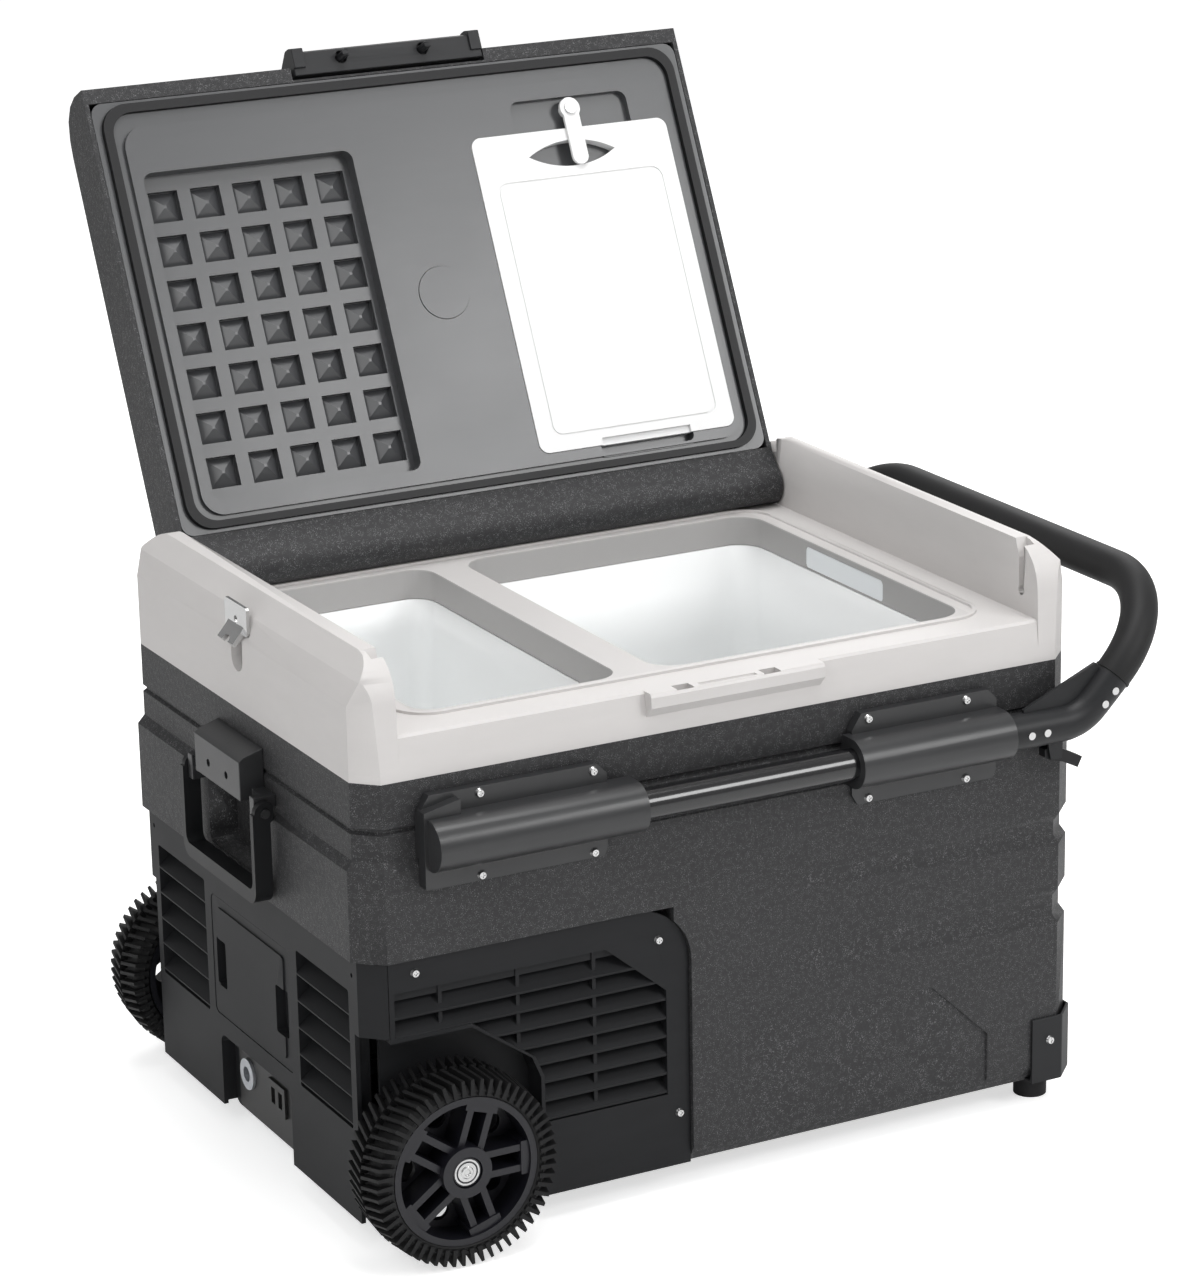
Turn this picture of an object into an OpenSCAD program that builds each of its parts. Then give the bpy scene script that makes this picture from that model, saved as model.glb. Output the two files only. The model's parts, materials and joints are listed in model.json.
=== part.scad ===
// Two-zone compressor cooler on wheels, with its lid open on its stop.
// Millimetres. +X points to the pull handle, -Y to the latch side, +Z up.
// The origin is the centre of the body's flat underside.

/* [Body] */
// Length of the body along X
body_l = 600; // [590:5:620]
// Depth of the body along Y
body_w = 420; // [415:1:425]
// Height of the dark shell above its underside
shell_h = 342; // [340:1:346]
// Height of the flat ledge that the lid closes on
ledge_z = 375; // [373:1:378]
// Height of the end cheeks that the lid closes between
cheek_z = 432; // [430:1:436]
// Inner faces of the end cheeks, from the middle
cheek_x = 268; // [266:1:270]

/* [Cold compartments] */
// Left and right sides of the divider between the two compartments
divider_x = [-66, -36];
// Half the depth of both compartments at their mouths
mouth_y = 166; // [160:1:168]
// Ends of the compartments at their mouths
mouth_x = [-232, 232];
// Height of the floor of the small compartment
small_floor_z = 236; // [232:1:260]
// Height of the floor of the large compartment
large_floor_z = 38; // [34:1:60]

/* [Lid] */
// Angle that the open lid has turned from closed
open_angle = 115.8; // [110:0.1:116]
// Thickness of the lid between its flange and its top
lid_t = 48; // [46:1:50]

/* [Wheels and handles] */
// Outer radius of a tyre over its lugs
wheel_r = 74; // [72:1:75]
// Width of a tyre
wheel_w = 50; // [46:1:52]
// Height of the sliding tubes of the pull handle
tube_z = 297; // [296:0.5:298]
// Radius of the sliding tubes
tube_r = 12; // [11:0.5:12]
// Travel of the pull handle
handle_travel = 240; // [200:10:250]

/* [Hidden] */
hl = body_l / 2;
hw = body_w / 2;
// the textured shell stands this far proud of the top frame and the covers
proud = 5;
corner = 17;
fine = 48;

// compressor bay behind the covers at the wheel end
bay_x = -53;
bay_z = 208;
cover_y = hw + 1;
cover_x = -39;
cover_t = 3.5;
shell_in_y = hw - 7;
bulkhead_t = 4;

// wheels
axle_x = -245;
axle_z = 54;
wheel_y = 204;
axle_r = 6;
arch_in_y = 190;

// lid hinge line and the planes of the closed lid
pin_y = 185;
pin_z = 393;
pin_r = 4;
flange_z = ledge_z + 7;
lid_top_z = flange_z + lid_t;
lid_x = cheek_x - 2;
roll_r = 17.4;
panel_h = 3;

// grooves in the shell: top and bottom edge of each
grooves = [[219, 194], [158, 129]];

// latch: its pin and its hooks
latch_y = -hw + 3.5;
latch_z = flange_z + 22;
hook_x = [-41, 32];

groove_d = 4.6;

// pull handle
tube_y = 228;
guide_r = 19;
arm_r = 14.2;
grip_r = 14.5;
grip_x = 379;
bend_x = 292;
corner_r = 78;
guides = [[-255, -88], [92, 226]];
lever_x = 269;
lever_z = 276.6;
tube_start_x = 2 - handle_travel;
arm_start_x = 228;

rivet_places = [[241, 297], [255, 297], [bend_x + 15, tube_z + 14], [bend_x + 24, tube_z + 23]];

// carry handle
bail_x = -312;
bail_z = 283;

// screws on the long sides, as [x, z]
cover_screws = [[-262, 197], [-64, 183], [-48, 42]];
guard_screw = [278, 34];
guide_screw_places = [guides[0][0] + 45, guides[0][1] - 31, guides[1][0] + 20, guides[1][1] - 28];

// louvres
slat_pitch = 14.8;
slat_z = 58.5;
slat_tilt = 42;

// ---------------------------------------------------------------- helpers

// box between two opposite corners
module block(low, high) {
    translate(low) cube(high - low);
}

// rectangle with round corners between two opposite corners
module round_rect(low, high, r) {
    translate([low[0] + r, low[1]]) square([high[0] - low[0] - 2 * r, high[1] - low[1]]);
    translate([low[0], low[1] + r]) square([high[0] - low[0], high[1] - low[1] - 2 * r]);
    for (x = [low[0] + r, high[0] - r], y = [low[1] + r, high[1] - r]) {
        translate([x, y]) circle(r, $fn = fine);
    }
}

// standing prism on a round-cornered rectangle
module round_block(low, high, r) {
    translate([0, 0, low[2]]) linear_extrude(high[2] - low[2]) {
        round_rect([low[0], low[1]], [high[0], high[1]], r);
    }
}

// extrudes a 2D outline given as [x, z] from y0 to y1
module along_y(y0, y1) {
    translate([0, y1, 0]) rotate([90, 0, 0]) linear_extrude(y1 - y0) children();
}

// extrudes a 2D outline given as [y, z] from x0 to x1
module along_x(x0, x1) {
    translate([x0, 0, 0]) rotate([90, 0, 90]) linear_extrude(x1 - x0) children();
}

// plan of the body with its four cut corners
module plan(l, w, c) {
    polygon([
        [-l / 2 + c, -w / 2], [l / 2 - c, -w / 2], [l / 2, -w / 2 + c], [l / 2, w / 2 - c],
        [l / 2 - c, w / 2], [-l / 2 + c, w / 2], [-l / 2, w / 2 - c], [-l / 2, -w / 2 + c]
    ]);
}

// solid whose sides follow a profile of [offset, z] round the whole plan,
// with its own profile on the corners
module profiled(profile, corner_profile) {
    diagonal = (hl + hw - corner) / sqrt(2);
    intersection() {
        along_y(-hw - 40, hw + 40) mirrored_profile(profile, hl);
        along_x(-hl - 40, hl + 40) mirrored_profile(profile, hw);
        rotate([0, 0, 45]) along_x(-hl - hw, hl + hw) mirrored_profile(corner_profile, diagonal);
        rotate([0, 0, -45]) along_x(-hl - hw, hl + hw) mirrored_profile(corner_profile, diagonal);
    }
}

// closed outline with half-width half + offset at each height
module mirrored_profile(profile, half) {
    n = len(profile);
    polygon(concat(
        [for (p = profile) [half + p[0], p[1]]],
        [for (i = [n - 1:-1:0]) [-half - profile[i][0], profile[i][1]]]
    ));
}

// puts children drawn on the closed lid into the open pose
module opened() {
    translate([0, pin_y, pin_z]) rotate([-open_angle, 0, 0]) translate([0, -pin_y, -pin_z]) children();
}

// rod along Y between two heights
module rod_y(x, z, r, y0, y1) {
    translate([x, y1, z]) rotate([90, 0, 0]) cylinder(r = r, h = y1 - y0, $fn = fine);
}

// rod along X
module rod_x(y, z, r, x0, x1) {
    translate([x0, y, z]) rotate([0, 90, 0]) cylinder(r = r, h = x1 - x0, $fn = fine);
}

// draws children on the front and again mirrored on the rear
module both_sides() {
    children();
    mirror([0, 1, 0]) children();
}

// ---------------------------------------------------------------- shell

// outline of the front cover, as [x, z]
module cover_outline(grow = 0) {
    r = 44 + grow;
    top = bay_z + grow;
    side = cover_x + grow;
    translate([-hl - 8, -2]) square([side + hl + 8 - r, top + 2]);
    translate([-hl - 8, -2]) square([side + hl + 8, top + 2 - r]);
    translate([side - r, top - r]) circle(r, $fn = 96);
}

// outline of the wheel arch, as [x, z]
module arch_outline(grow = 0) {
    polygon([
        [-hl - 12, -30], [-163 + grow, -30], [-163 + grow, 95], [-170 + grow, 112],
        [-218, 146 + grow], [-hl - 12, 146 + grow]
    ]);
}

// one horizontal groove that fades out to the left on the long side
module side_groove(top, bottom) {
    fade = 240;
    mid = (top + bottom) / 2;
    half = (top - bottom) / 2;
    translate([hl - fade - 10, -hw - proud - groove_d, 0]) rotate([0, 0, atan(groove_d / fade)]) {
        along_x(-25, fade + 40) polygon([
            [-12, mid - half - 8], [0, mid - half], [groove_d, mid - half + 7],
            [groove_d, mid + half - 7], [0, mid + half], [-12, mid + half + 8]
        ]);
    }
}

// shallow panel below a cranked line at the foot of the long side
module foot_panel() {
    reach = 220;
    translate([0, -hw - proud, 0]) rotate([0, 0, atan(2.2 / reach)]) {
        along_y(-10, 0) polygon([[-12, -1], [-12, 98], [172, 98], [222, 50], [222, -1]]);
    }
}

module shell_outer() {
    upper = [
        [proud, 277], [0, 284], [0, 303.4], [-2.6, 304.9], [-2.6, 307.1], [0, 308.6], [0, shell_h]
    ];
    profiled(concat([[-3, 0], [proud, 13]], upper), concat([[proud, 0]], upper));
}

// pocket behind the carry handle, as [y, z] corners
pocket_low = [-56, 222];
pocket_high = [56, 290];

// inside of the shell's cold side, shrunk all round
module cold_space(inset) {
    top = inset > 0 ? shell_h - inset : shell_h + 1;
    y = shell_in_y - inset;
    intersection() {
        union() {
            block([-hl + 7 + inset, -y, bay_z + bulkhead_t + inset], [hl - 4 - inset, y, top]);
            block([bay_x + bulkhead_t + inset, -y, 4 + inset], [hl - 4 - inset, y, top]);
        }
        linear_extrude(shell_h + 2) plan(body_l, body_w, 25 + 1.5 * inset);
    }
}

module body_shell() {
    color("#3b3b3d") difference() {
        shell_outer();
        cold_space(0);
        // compressor bay
        block([-hl - 10, -hw - 10, -1], [bay_x, hw + 10, bay_z]);
        // seats of the side covers
        both_sides() along_y(-hw - 10, -cover_y + cover_t + 0.1) cover_outline(0.5);
        for (g = grooves) {
            both_sides() side_groove(g[0], g[1]);
            end_groove(g[0], g[1]);
        }
        both_sides() foot_panel();
        // seats of the corner guards
        both_sides() block([261.6, -hw - 20, -1], [hl + 20, -hw + 45.4, 2.4]);
        // recess behind the carry handle
        along_x(-hl - 10, -hl + 18) round_rect(pocket_low, pocket_high, 8);
        // screw holes of the guides, covers and corner guards
        both_sides() {
            for (x = guide_screw_places, z = guide_screw_z) rod_y(x, z, 2.02, -hw - 10, -hw + 3.5);
            rod_y(cover_screws[2][0], cover_screws[2][1], 2.02, -hw - 10, -hw + 7);
            rod_y(guard_screw[0], guard_screw[1], 2.02, -hw - 10, -hw + 3.5);
        }
        // seat and cable hole of the control panel
        along_x(hl - 0.5, hl + 10) round_rect([-62, 228], [62, 272], 6);
        rod_x(0, 250, 5, hl - 20, hl + 10);
    }
    // inner walls of the carry handle's recess
    color("#3b3b3d") difference() {
        along_x(-hl, -hl + 21) round_rect(pocket_low - [3, 3], pocket_high + [3, 3], 11);
        along_x(-hl - 1, -hl + 18) round_rect(pocket_low, pocket_high, 8);
    }
}

// outline of a groove that opens towards +, half-width at the face's distance d
function groove_outline(d, top, bottom, side = 1) = [
    [side * (d + 12), bottom - 8], [side * d, bottom], [side * (d - groove_d), bottom + 7],
    [side * (d - groove_d), top - 7], [side * d, top], [side * (d + 12), top + 8]
];

// groove across the handle end and its two cut corners
module end_groove(top, bottom) {
    d = (hl + hw - corner) / sqrt(2) + proud;
    along_y(-hw - 20, hw + 20) polygon(groove_outline(hl + proud, top, bottom));
    rotate([0, 0, 45]) along_x(-20, 140) polygon(groove_outline(d, top, bottom, -1));
    rotate([0, 0, -45]) along_x(-20, 140) polygon(groove_outline(d, top, bottom));
}

module corner_guards() {
    color("#2c2d2f") both_sides() difference() {
        intersection() {
            linear_extrude(53)
                plan(body_l + 2 * proud + 5, body_w + 2 * proud + 5, corner + 1);
            along_y(-hw - 20, -hw + 50) round_rect([262, -6], [320, 60], 7);
            block([262, -hw - 20, 0], [320, -hw + 45, 53]);
        }
        translate([0, 0, 2]) linear_extrude(60)
            plan(body_l + 2 * proud + 0.6, body_w + 2 * proud + 0.6, corner);
        rod_y(guard_screw[0], guard_screw[1], 2.1, -hw - 20, -hw + 10);
    }
}

module feet() {
    color("#1d1d1e") both_sides() translate([279, -hw + 21, -20]) difference() {
        cylinder(r = 13, h = 19.8, $fn = fine);
        translate([0, 0, -1]) cylinder(r = 5, h = 8, $fn = fine);
    }
}

// ---------------------------------------------------------------- top frame

// low walls and the deck round the compartments
module frame_deck() {
    profile = [[0, shell_h], [0, shell_h + 6], [-3, ledge_z - 2], [-5, ledge_z]];
    profiled(profile, profile);
}

// the raised cheek at the handle end
module cheek() {
    intersection() {
        along_y(-hw, hw) polygon([
            [cheek_x, shell_h], [hl, shell_h], [hl, cheek_z - 34], [hl - 7, cheek_z - 16],
            [hl - 20, cheek_z], [cheek_x, cheek_z]
        ]);
        along_x(200, hl) cheek_side(hw - 3, 34);
        translate([0, 0, shell_h]) linear_extrude(120) plan(body_l, body_w, corner);
    }
}

// side view of a cheek, as [y, z]
module cheek_side(half, r) {
    polygon([[-hw, shell_h], [hw, shell_h], [half, cheek_z - r], [-half, cheek_z - r]]);
    translate([-half + r, cheek_z - r - 1]) square([2 * half - 2 * r, r + 1]);
    for (s = [-1, 1]) translate([s * (half - r), cheek_z - r]) circle(r, $fn = 64);
}

// keyhole slot in a cheek's inner face that a hinge pin drops into
module pin_slot(y) {
    rod_x(y, pin_z, pin_r + 0.06, cheek_x - 1, cheek_x + 9);
    block([cheek_x - 1, y - 3.2, pin_z], [cheek_x + 9, y + 3.2, cheek_z + 1]);
    along_x(cheek_x - 1, cheek_x + 9) polygon([
        [y - 3.2, cheek_z - 14], [y + 3.2, cheek_z - 14], [y + 9, cheek_z + 1], [y - 3.2, cheek_z + 1]
    ]);
}

// boss for the latch on the low front wall
module latch_boss() {
    along_x(-70, 76) polygon([
        [-hw + 6, ledge_z], [-hw - 5, ledge_z], [-hw - 7, ledge_z - 3], [-hw - 7, ledge_z - 11],
        [-hw + 1, ledge_z - 19], [-hw + 6, ledge_z - 19]
    ]);
}

module top_frame() {
    color("#d3d0ce") difference() {
        union() {
            frame_deck();
            cheek();
            mirror([1, 0, 0]) cheek();
            latch_boss();
            // sealing rib round each mouth
            difference() {
                round_block([mouth_x[0] - 14, -mouth_y - 12, ledge_z - 1],
                    [mouth_x[1] + 14, mouth_y + 12, ledge_z + 2], 30);
                round_block([mouth_x[0] - 11, -mouth_y - 9, ledge_z - 2],
                    [mouth_x[1] + 11, mouth_y + 9, ledge_z + 3], 27);
            }
        }
        // mouths of the compartments
        round_block([mouth_x[0], -mouth_y, shell_h - 1], [divider_x[0], mouth_y, ledge_z + 9], 20);
        round_block([divider_x[1], -mouth_y, shell_h - 1], [mouth_x[1], mouth_y, ledge_z + 9], 24);
        // seat of the tubs' rims
        round_block([mouth_x[0] - 6, -mouth_y - 6, shell_h - 1], [divider_x[0] + 6, mouth_y + 6, 351], 26);
        round_block([divider_x[1] - 6, -mouth_y - 6, shell_h - 1], [mouth_x[1] + 6, mouth_y + 6, 351], 30);
        // hollow underside, filled with foam
        difference() {
            union() {
                intersection() {
                    block([-hl + 6, -hw + 9, shell_h - 1], [hl - 6, hw - 9, ledge_z - 5]);
                    linear_extrude(ledge_z) plan(body_l, body_w, 25);
                }
                for (s = [-1, 1])
                    block([s > 0 ? 281 : -292, -hw + 30, 360], [s > 0 ? 292 : -281, hw - 30, cheek_z - 36]);
            }
            round_block([mouth_x[0] - 10, -mouth_y - 10, shell_h - 2],
                [mouth_x[1] + 10, mouth_y + 10, ledge_z], 34);
        }
        for (y = [-pin_y, pin_y]) {
            pin_slot(y);
            mirror([1, 0, 0]) pin_slot(y);
        }
        // catch slots for the latch hooks
        for (x = hook_x) block([x - 7, latch_y - 9, ledge_z - 12], [x + 7, latch_y + 0.5, ledge_z + 1]);
        block([-28, latch_y - 8, ledge_z - 2], [20, latch_y - 3, ledge_z + 1]);
        // window of the light
        along_x(mouth_x[1] - 1, mouth_x[1] + 5) round_rect([-44, 352], [74, 370], 4);
        // bottle opener recess in the left cheek
        along_x(-hl - 1, -hl + 10) round_rect([-10, 372], [10, 418], 9.9);
        along_x(-hl - 1, -hl + 3) round_rect([-21, 402], [21, 426], 3);
        rod_x(0, 412, 3, -hl - 1, -hl + 14);
    }
}

module led_panel() {
    color("#f4f7f8") along_x(mouth_x[1] + 0.2, mouth_x[1] + 4.8)
        round_rect([-43.6, 352.4], [73.6, 369.6], 3.6);
}

module bottle_opener() {
    color("#d8d8d8") difference() {
        union() {
            along_x(-hl + 0.4, -hl + 2.8) round_rect([-20, 403], [20, 425], 2.4);
            along_y(-14, 14) polygon([
                [-hl + 2.8, 404], [-hl - 7, 395], [-hl - 9, 397.5], [-hl - 1.6, 406],
                    [-hl + 0.4, 409], [-hl + 2.8, 409]
            ]);
        }
        rod_x(0, 412, 3, -hl - 2, -hl + 6);
        along_x(-hl - 12, -hl - 0.6) round_rect([-5, 386], [5, 401], 3);
    }
}

// ---------------------------------------------------------------- cold side

module tub(x0, x1, floor_z, r) {
    wall = 3;
    lip = 346;
    difference() {
        union() {
            round_block([x0 - 2, -mouth_y - 2, floor_z], [x1 + 2, mouth_y + 2, 350.6], r + 2);
            round_block([x0 - 5.6, -mouth_y - 5.6, lip], [x1 + 5.6, mouth_y + 5.6, 350.6], r + 5);
        }
        round_block([x0 + 1.2, -mouth_y + 1.2, floor_z + wall], [x1 - 1.2, mouth_y - 1.2, 352], r - 1);
    }
}

module small_tub() {
    color("#f3f4f4") tub(mouth_x[0], divider_x[0], small_floor_z, 20);
}

module large_tub() {
    color("#f3f4f4") tub(divider_x[1], mouth_x[1], large_floor_z, 24);
}

// room that the foam leaves for a tub
module tub_space(x0, x1, floor_z, r) {
    low = [x0 - 2.4, -mouth_y - 2.4, floor_z - 0.4];
    high = [x1 + 2.4, mouth_y + 2.4, 360];
    round_block(low, high, r);
}

module insulation() {
    color("#e9dcae") difference() {
        cold_space(0.4);
        tub_space(mouth_x[0], divider_x[0], small_floor_z, 22);
        tub_space(divider_x[1], mouth_x[1], large_floor_z, 26);
        block([-hl, -64, 214], [-hl + 22, 64, 302]);
        block([hl - 20, -10, 240], [hl, 10, 260]);
    }
}

// ---------------------------------------------------------------- covers

// opening of the grille in the front cover, as [x, z]
module grille_outline(grow = 0) {
    polygon([
        [-279 - grow, slat_z - grow], [-58 + grow, slat_z - grow], [-58 + grow, 142 + grow / 2],
        [-108 + grow / 2, 184 + grow], [-279 - grow, 184 + grow]
    ]);
}

module side_cover() {
    difference() {
        union() {
            difference() {
                along_y(-cover_y, -cover_y + cover_t) intersection() {
                    cover_outline();
                    translate([-hl + corner, 0]) square([hl, bay_z]);
                }
                along_y(-cover_y - 1, -cover_y + cover_t + 1) grille_outline();
            }
            // slats and uprights of the grille
            intersection() {
                along_y(-cover_y + 0.6, -cover_y + 13.4) grille_outline(1.2);
                union() {
                    for (i = [0:7]) translate([-290, -cover_y + 1.2, slat_z + 0.8 + i * slat_pitch]) {
                        rotate([slat_tilt, 0, 0]) cube([240, 16, 2]);
                    }
                    for (x = [-241, -178.5, -116])
                        block([x - 1.5, -cover_y + 4, 40], [x + 1.5, -cover_y + 14, 190]);
                    block([-290, -cover_y + 5, 176.5], [-50, -cover_y + 14, 190]);
                }
            }
            // frame behind the grille
            difference() {
                along_y(-cover_y + 2, -cover_y + 14) intersection() {
                    translate([-281, 54]) square([227, 134]);
                    cover_outline(-6);
                }
                along_y(-cover_y - 1, -cover_y + 20) grille_outline();
            }
            // wheel well
            along_y(-cover_y, -arch_in_y + 3) intersection() {
                arch_outline(3);
                translate([-hl + corner, 0]) square([hl, bay_z]);
            }
        }
        along_y(-cover_y - 1, -arch_in_y) arch_outline();
        rod_y(axle_x, axle_z, axle_r + 1, -cover_y - 1, -arch_in_y + 5);
        for (p = cover_screws) rod_y(p[0], p[1], 2.1, -cover_y - 1, -cover_y + 6);
    }
}

module front_cover() {
    color("#333436") side_cover();
}

module rear_cover() {
    color("#333436") mirror([0, 1, 0]) side_cover();
}

// battery opening and power recess in the end cover, as [y, z] corners
battery_low = [-74, 76];
battery_high = [74, 174];

module end_cover() {
    t = 3.5;
    color("#343537") difference() {
        union() {
            difference() {
                linear_extrude(bay_z) intersection() {
                    plan(body_l, 2 * cover_y, corner);
                    translate([-hl - 1, -hw - 5]) square([corner + 0.6, body_w + 10]);
                }
                translate([0, 0, -1]) linear_extrude(bay_z + 2)
                    plan(body_l - 2 * t, 2 * cover_y - 2 * t, corner - t / 2);
                // slat columns
                for (s = [-1, 1]) along_x(-hl - 1, -hl + t + 1)
                    round_rect([s * 132 - 46, 72], [s * 132 + 46, 180], 2);
                // battery opening
                along_x(-hl - 1, -hl + t + 1) round_rect(battery_low, battery_high, 6);
                // power recess
                along_x(-hl - 1, -hl + t + 1) round_rect([-66, -12], [66, 60], 8);
            }
            for (s = [-1, 1]) intersection() {
                along_x(-hl, -hl + 14) round_rect([s * 132 - 46, 72], [s * 132 + 46, 180], 2);
                for (i = [0:4]) translate([-hl + 1, 0, 74 + i * 21.4]) rotate([0, -40, 0])
                    block([0, s * 132 - 48, 0], [26, s * 132 + 48, 2.4]);
            }
            // frame behind the slats, sleeve of the battery bay, walls of the power recess
            for (s = [-1, 1]) difference() {
                along_x(-hl + 2, -hl + 14) round_rect([s * 132 - 49, 69], [s * 132 + 49, 183], 4);
                along_x(-hl, -hl + 15) round_rect([s * 132 - 46, 72], [s * 132 + 46, 180], 2);
            }
            difference() {
                along_x(-hl + 2, -hl + 70) round_rect(battery_low - [3, 3], battery_high + [3, 3], 9);
                along_x(-hl, -hl + 67) round_rect(battery_low, battery_high, 6);
            }
            difference() {
                along_x(-hl + 2, -hl + 14) round_rect([-69, 0], [69, 63], 10);
                along_x(-hl, -hl + 11) round_rect([-66, -12], [66, 60], 8);
            }
        }
        // wheel arches cut the corners
        for (s = [0, 1]) mirror([0, s, 0]) along_y(-cover_y - 1, -arch_in_y + 3.3) arch_outline(3.3);
        // openings of the power plate
        rod_x(33, 36, 11.5, -hl + 5, -hl + 20);
        block([-hl + 5, -38, 26], [-hl + 20, -10, 48]);
        for (s = [-1, 1]) rod_x(s * 185, 194, 1.8, -hl - 1, -hl + 8);
    }
}

module power_plate() {
    color("#1f2021") difference() {
        along_x(-hl + 8.4, -hl + 10.8) round_rect([-52, 3], [52, 55], 4);
        rod_x(33, 36, 10.6, -hl, -hl + 15);
        block([-hl, -37, 27], [-hl + 15, -11, 47]);
    }
}

module dc_socket() {
    color("#c9ccd0") difference() {
        union() {
            rod_x(33, 36, 10.5, -hl + 6, -hl + 22);
            rod_x(33, 36, 12.5, -hl + 6, -hl + 8.2);
        }
        rod_x(33, 36, 6, -hl + 5, -hl + 20);
    }
}

module usb_socket() {
    color("#101112") difference() {
        union() {
            block([-hl + 6.4, -36.8, 27.2], [-hl + 20, -11.2, 46.8]);
            block([-hl + 6, -39, 25], [-hl + 8.2, -9, 49]);
        }
        for (y = [-30.5, -17.5]) block([-hl + 5, y - 3.5, 30.5], [-hl + 17, y + 3.5, 43.5]);
    }
}

module battery_pack() {
    color("#26282a") round_block([-hl + 14, -70, 79], [-hl + 66, 70, 170], 4);
}

module battery_door() {
    color("#36373a") difference() {
        union() {
            along_x(-hl + 0.4, -hl + 3)
                round_rect(battery_low + [0.5, 0.5], battery_high - [0.5, 0.5], 5.5);
            along_x(-hl - 0.8, -hl + 1) round_rect([-62, 84], [62, 166], 4);
            along_x(-hl + 2.5, -hl + 9) round_rect(battery_low + [2, 2], battery_high - [2, 2], 5);
        }
        // finger slots at both ends
        for (s = [-1, 1]) along_x(-hl - 2, -hl + 7) round_rect([s * 57 - 10, 102], [s * 57 + 10, 140], 2.5);
        along_x(-hl + 5, -hl + 10) round_rect([-44, 84], [44, 166], 4);
    }
}

// ---------------------------------------------------------------- machinery

module base_plate() {
    color("#8d9194") difference() {
        block([-hl + 15, -180, 2], [bay_x - 3, 180, 5]);
        for (x = [-200, -110], y = [-95, 5]) translate([x, y, 0]) cylinder(r = 3, h = 8, $fn = fine);
    }
}

module compressor() {
    color("#1b1c1e") {
        translate([-155, -45, 20]) difference() {
            union() {
                cylinder(r = 48, h = 88, $fn = 96);
                translate([0, 0, 88]) intersection() {
                    translate([0, 0, -42]) sphere(r = 63.5, $fn = 96);
                    cylinder(r = 48, h = 30, $fn = 96);
                }
                translate([0, 0, -2]) cylinder(r = 52, h = 5, $fn = 96);
                for (x = [-45, 45], y = [-50, 50]) translate([x - 14, y - 12, -3]) cube([28, 24, 3.5]);
            }
            for (x = [-45, 45], y = [-50, 50]) translate([x, y, -5]) cylinder(r = 3.6, h = 10, $fn = fine);
        }
        // electronics box on the compressor's side
        block([-196, -2, 40], [-114, 30, 100]);
    }
}

module compressor_feet() {
    color("#27282a") for (x = [-200, -110], y = [-95, 5]) translate([x, y, 5.2]) difference() {
        cylinder(r = 9, h = 11.6, $fn = fine);
        translate([0, 0, -1]) cylinder(r = 3, h = 20, $fn = fine);
    }
}

module condenser() {
    color("#5b6063") {
        for (i = [0:17]) block([-222 + i * 8, 150, 30], [-221 + i * 8, 178, 170]);
        for (z = [40:20:160], y = [157, 171]) rod_x(y, z, 3, -224, -82);
        block([-226, 150, 28], [-223.4, 178, 172]);
        block([-84.6, 150, 28], [-82, 178, 172]);
    }
}

module refrigerant_pipes() {
    color("#b8763f") {
        translate([-155, -45, 129.8]) cylinder(r = 3.5, h = 60.2, $fn = fine);
        rod_y(-155, 190, 3.5, -45, 164);
        translate([-155, 164, 174]) cylinder(r = 3.5, h = 16, $fn = fine);
        translate([-155, -45, 190]) sphere(r = 4.4, $fn = 24);
        translate([-155, 164, 190]) sphere(r = 4.4, $fn = 24);
        rod_x(-45, 90, 3, -106.8, bay_x - 0.2);
    }
}

module fan_frame() {
    color("#202123") difference() {
        block([-215, 118, 45], [-95, 143, 165]);
        rod_y(-155, 105, 56, 117, 144);
        for (x = [-208, -102], z = [52, 158]) rod_y(x, z, 2.2, 117, 144);
    }
    color("#202123") {
        for (turn = [0:90:270]) translate([-155, 0, 105]) rotate([0, turn, 0])
            block([12, 139.5, -3], [57, 142.5, 3]);
        rod_y(-155, 105, 17, 139.5, 142.5);
        rod_y(-155, 105, 3, 124, 140);
    }
}

module fan_rotor() {
    color("#303235") difference() {
        union() {
            rod_y(-155, 105, 18, 121, 138.6);
            for (turn = [0:360 / 7:359]) translate([-155, 0, 105]) rotate([0, turn, 0]) {
                translate([16, 130, 0]) rotate([35, 0, 0]) translate([0, -1, -11]) cube([36, 2, 22]);
            }
        }
        rod_y(-155, 105, 3.06, 120, 140);
    }
}

module control_board() {
    color("#1f5b3a") {
        block([-226, -150, 178], [-120, -82, 180]);
        for (x = [-218, -128], y = [-142, -90]) translate([x, y, 180])
            cylinder(r = 3, h = 27.6, $fn = fine);
        block([-205, -130, 168], [-185, -110, 178]);
        block([-175, -136, 171], [-140, -104, 178]);
    }
}

// ---------------------------------------------------------------- handle end controls

module control_panel() {
    color("#141516") difference() {
        along_x(hl - 0.3, hl + 6.4) round_rect([-61.5, 228.5], [61.5, 271.5], 5.6);
        along_x(hl + 4.4, hl + 7) round_rect([-52, 248], [52, 267], 3);
        for (i = [0:3]) rod_x(-42 + i * 28, 238, 5.4, hl + 1.5, hl + 8);
        for (i = [0:3]) rod_x(-42 + i * 28, 238, 2.5, hl - 1, hl + 8);
        rod_x(0, 250, 4, hl - 1, hl + 4);
    }
}

module display() {
    color("#0c1a22") along_x(hl + 4.6, hl + 6.2) round_rect([-51.6, 248.4], [51.6, 266.6], 2.6);
}

module push_button(i) {
    color("#b9bcc0") {
        rod_x(-42 + i * 28, 238, 5, hl + 3.4, hl + 7.6);
        rod_x(-42 + i * 28, 238, 2.2, hl + 0.8, hl + 3.6);
    }
}

module power_button() {
    push_button(0);
}

module zone_button() {
    push_button(1);
}

module plus_button() {
    push_button(2);
}

module minus_button() {
    push_button(3);
}

// ---------------------------------------------------------------- wheels

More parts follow.
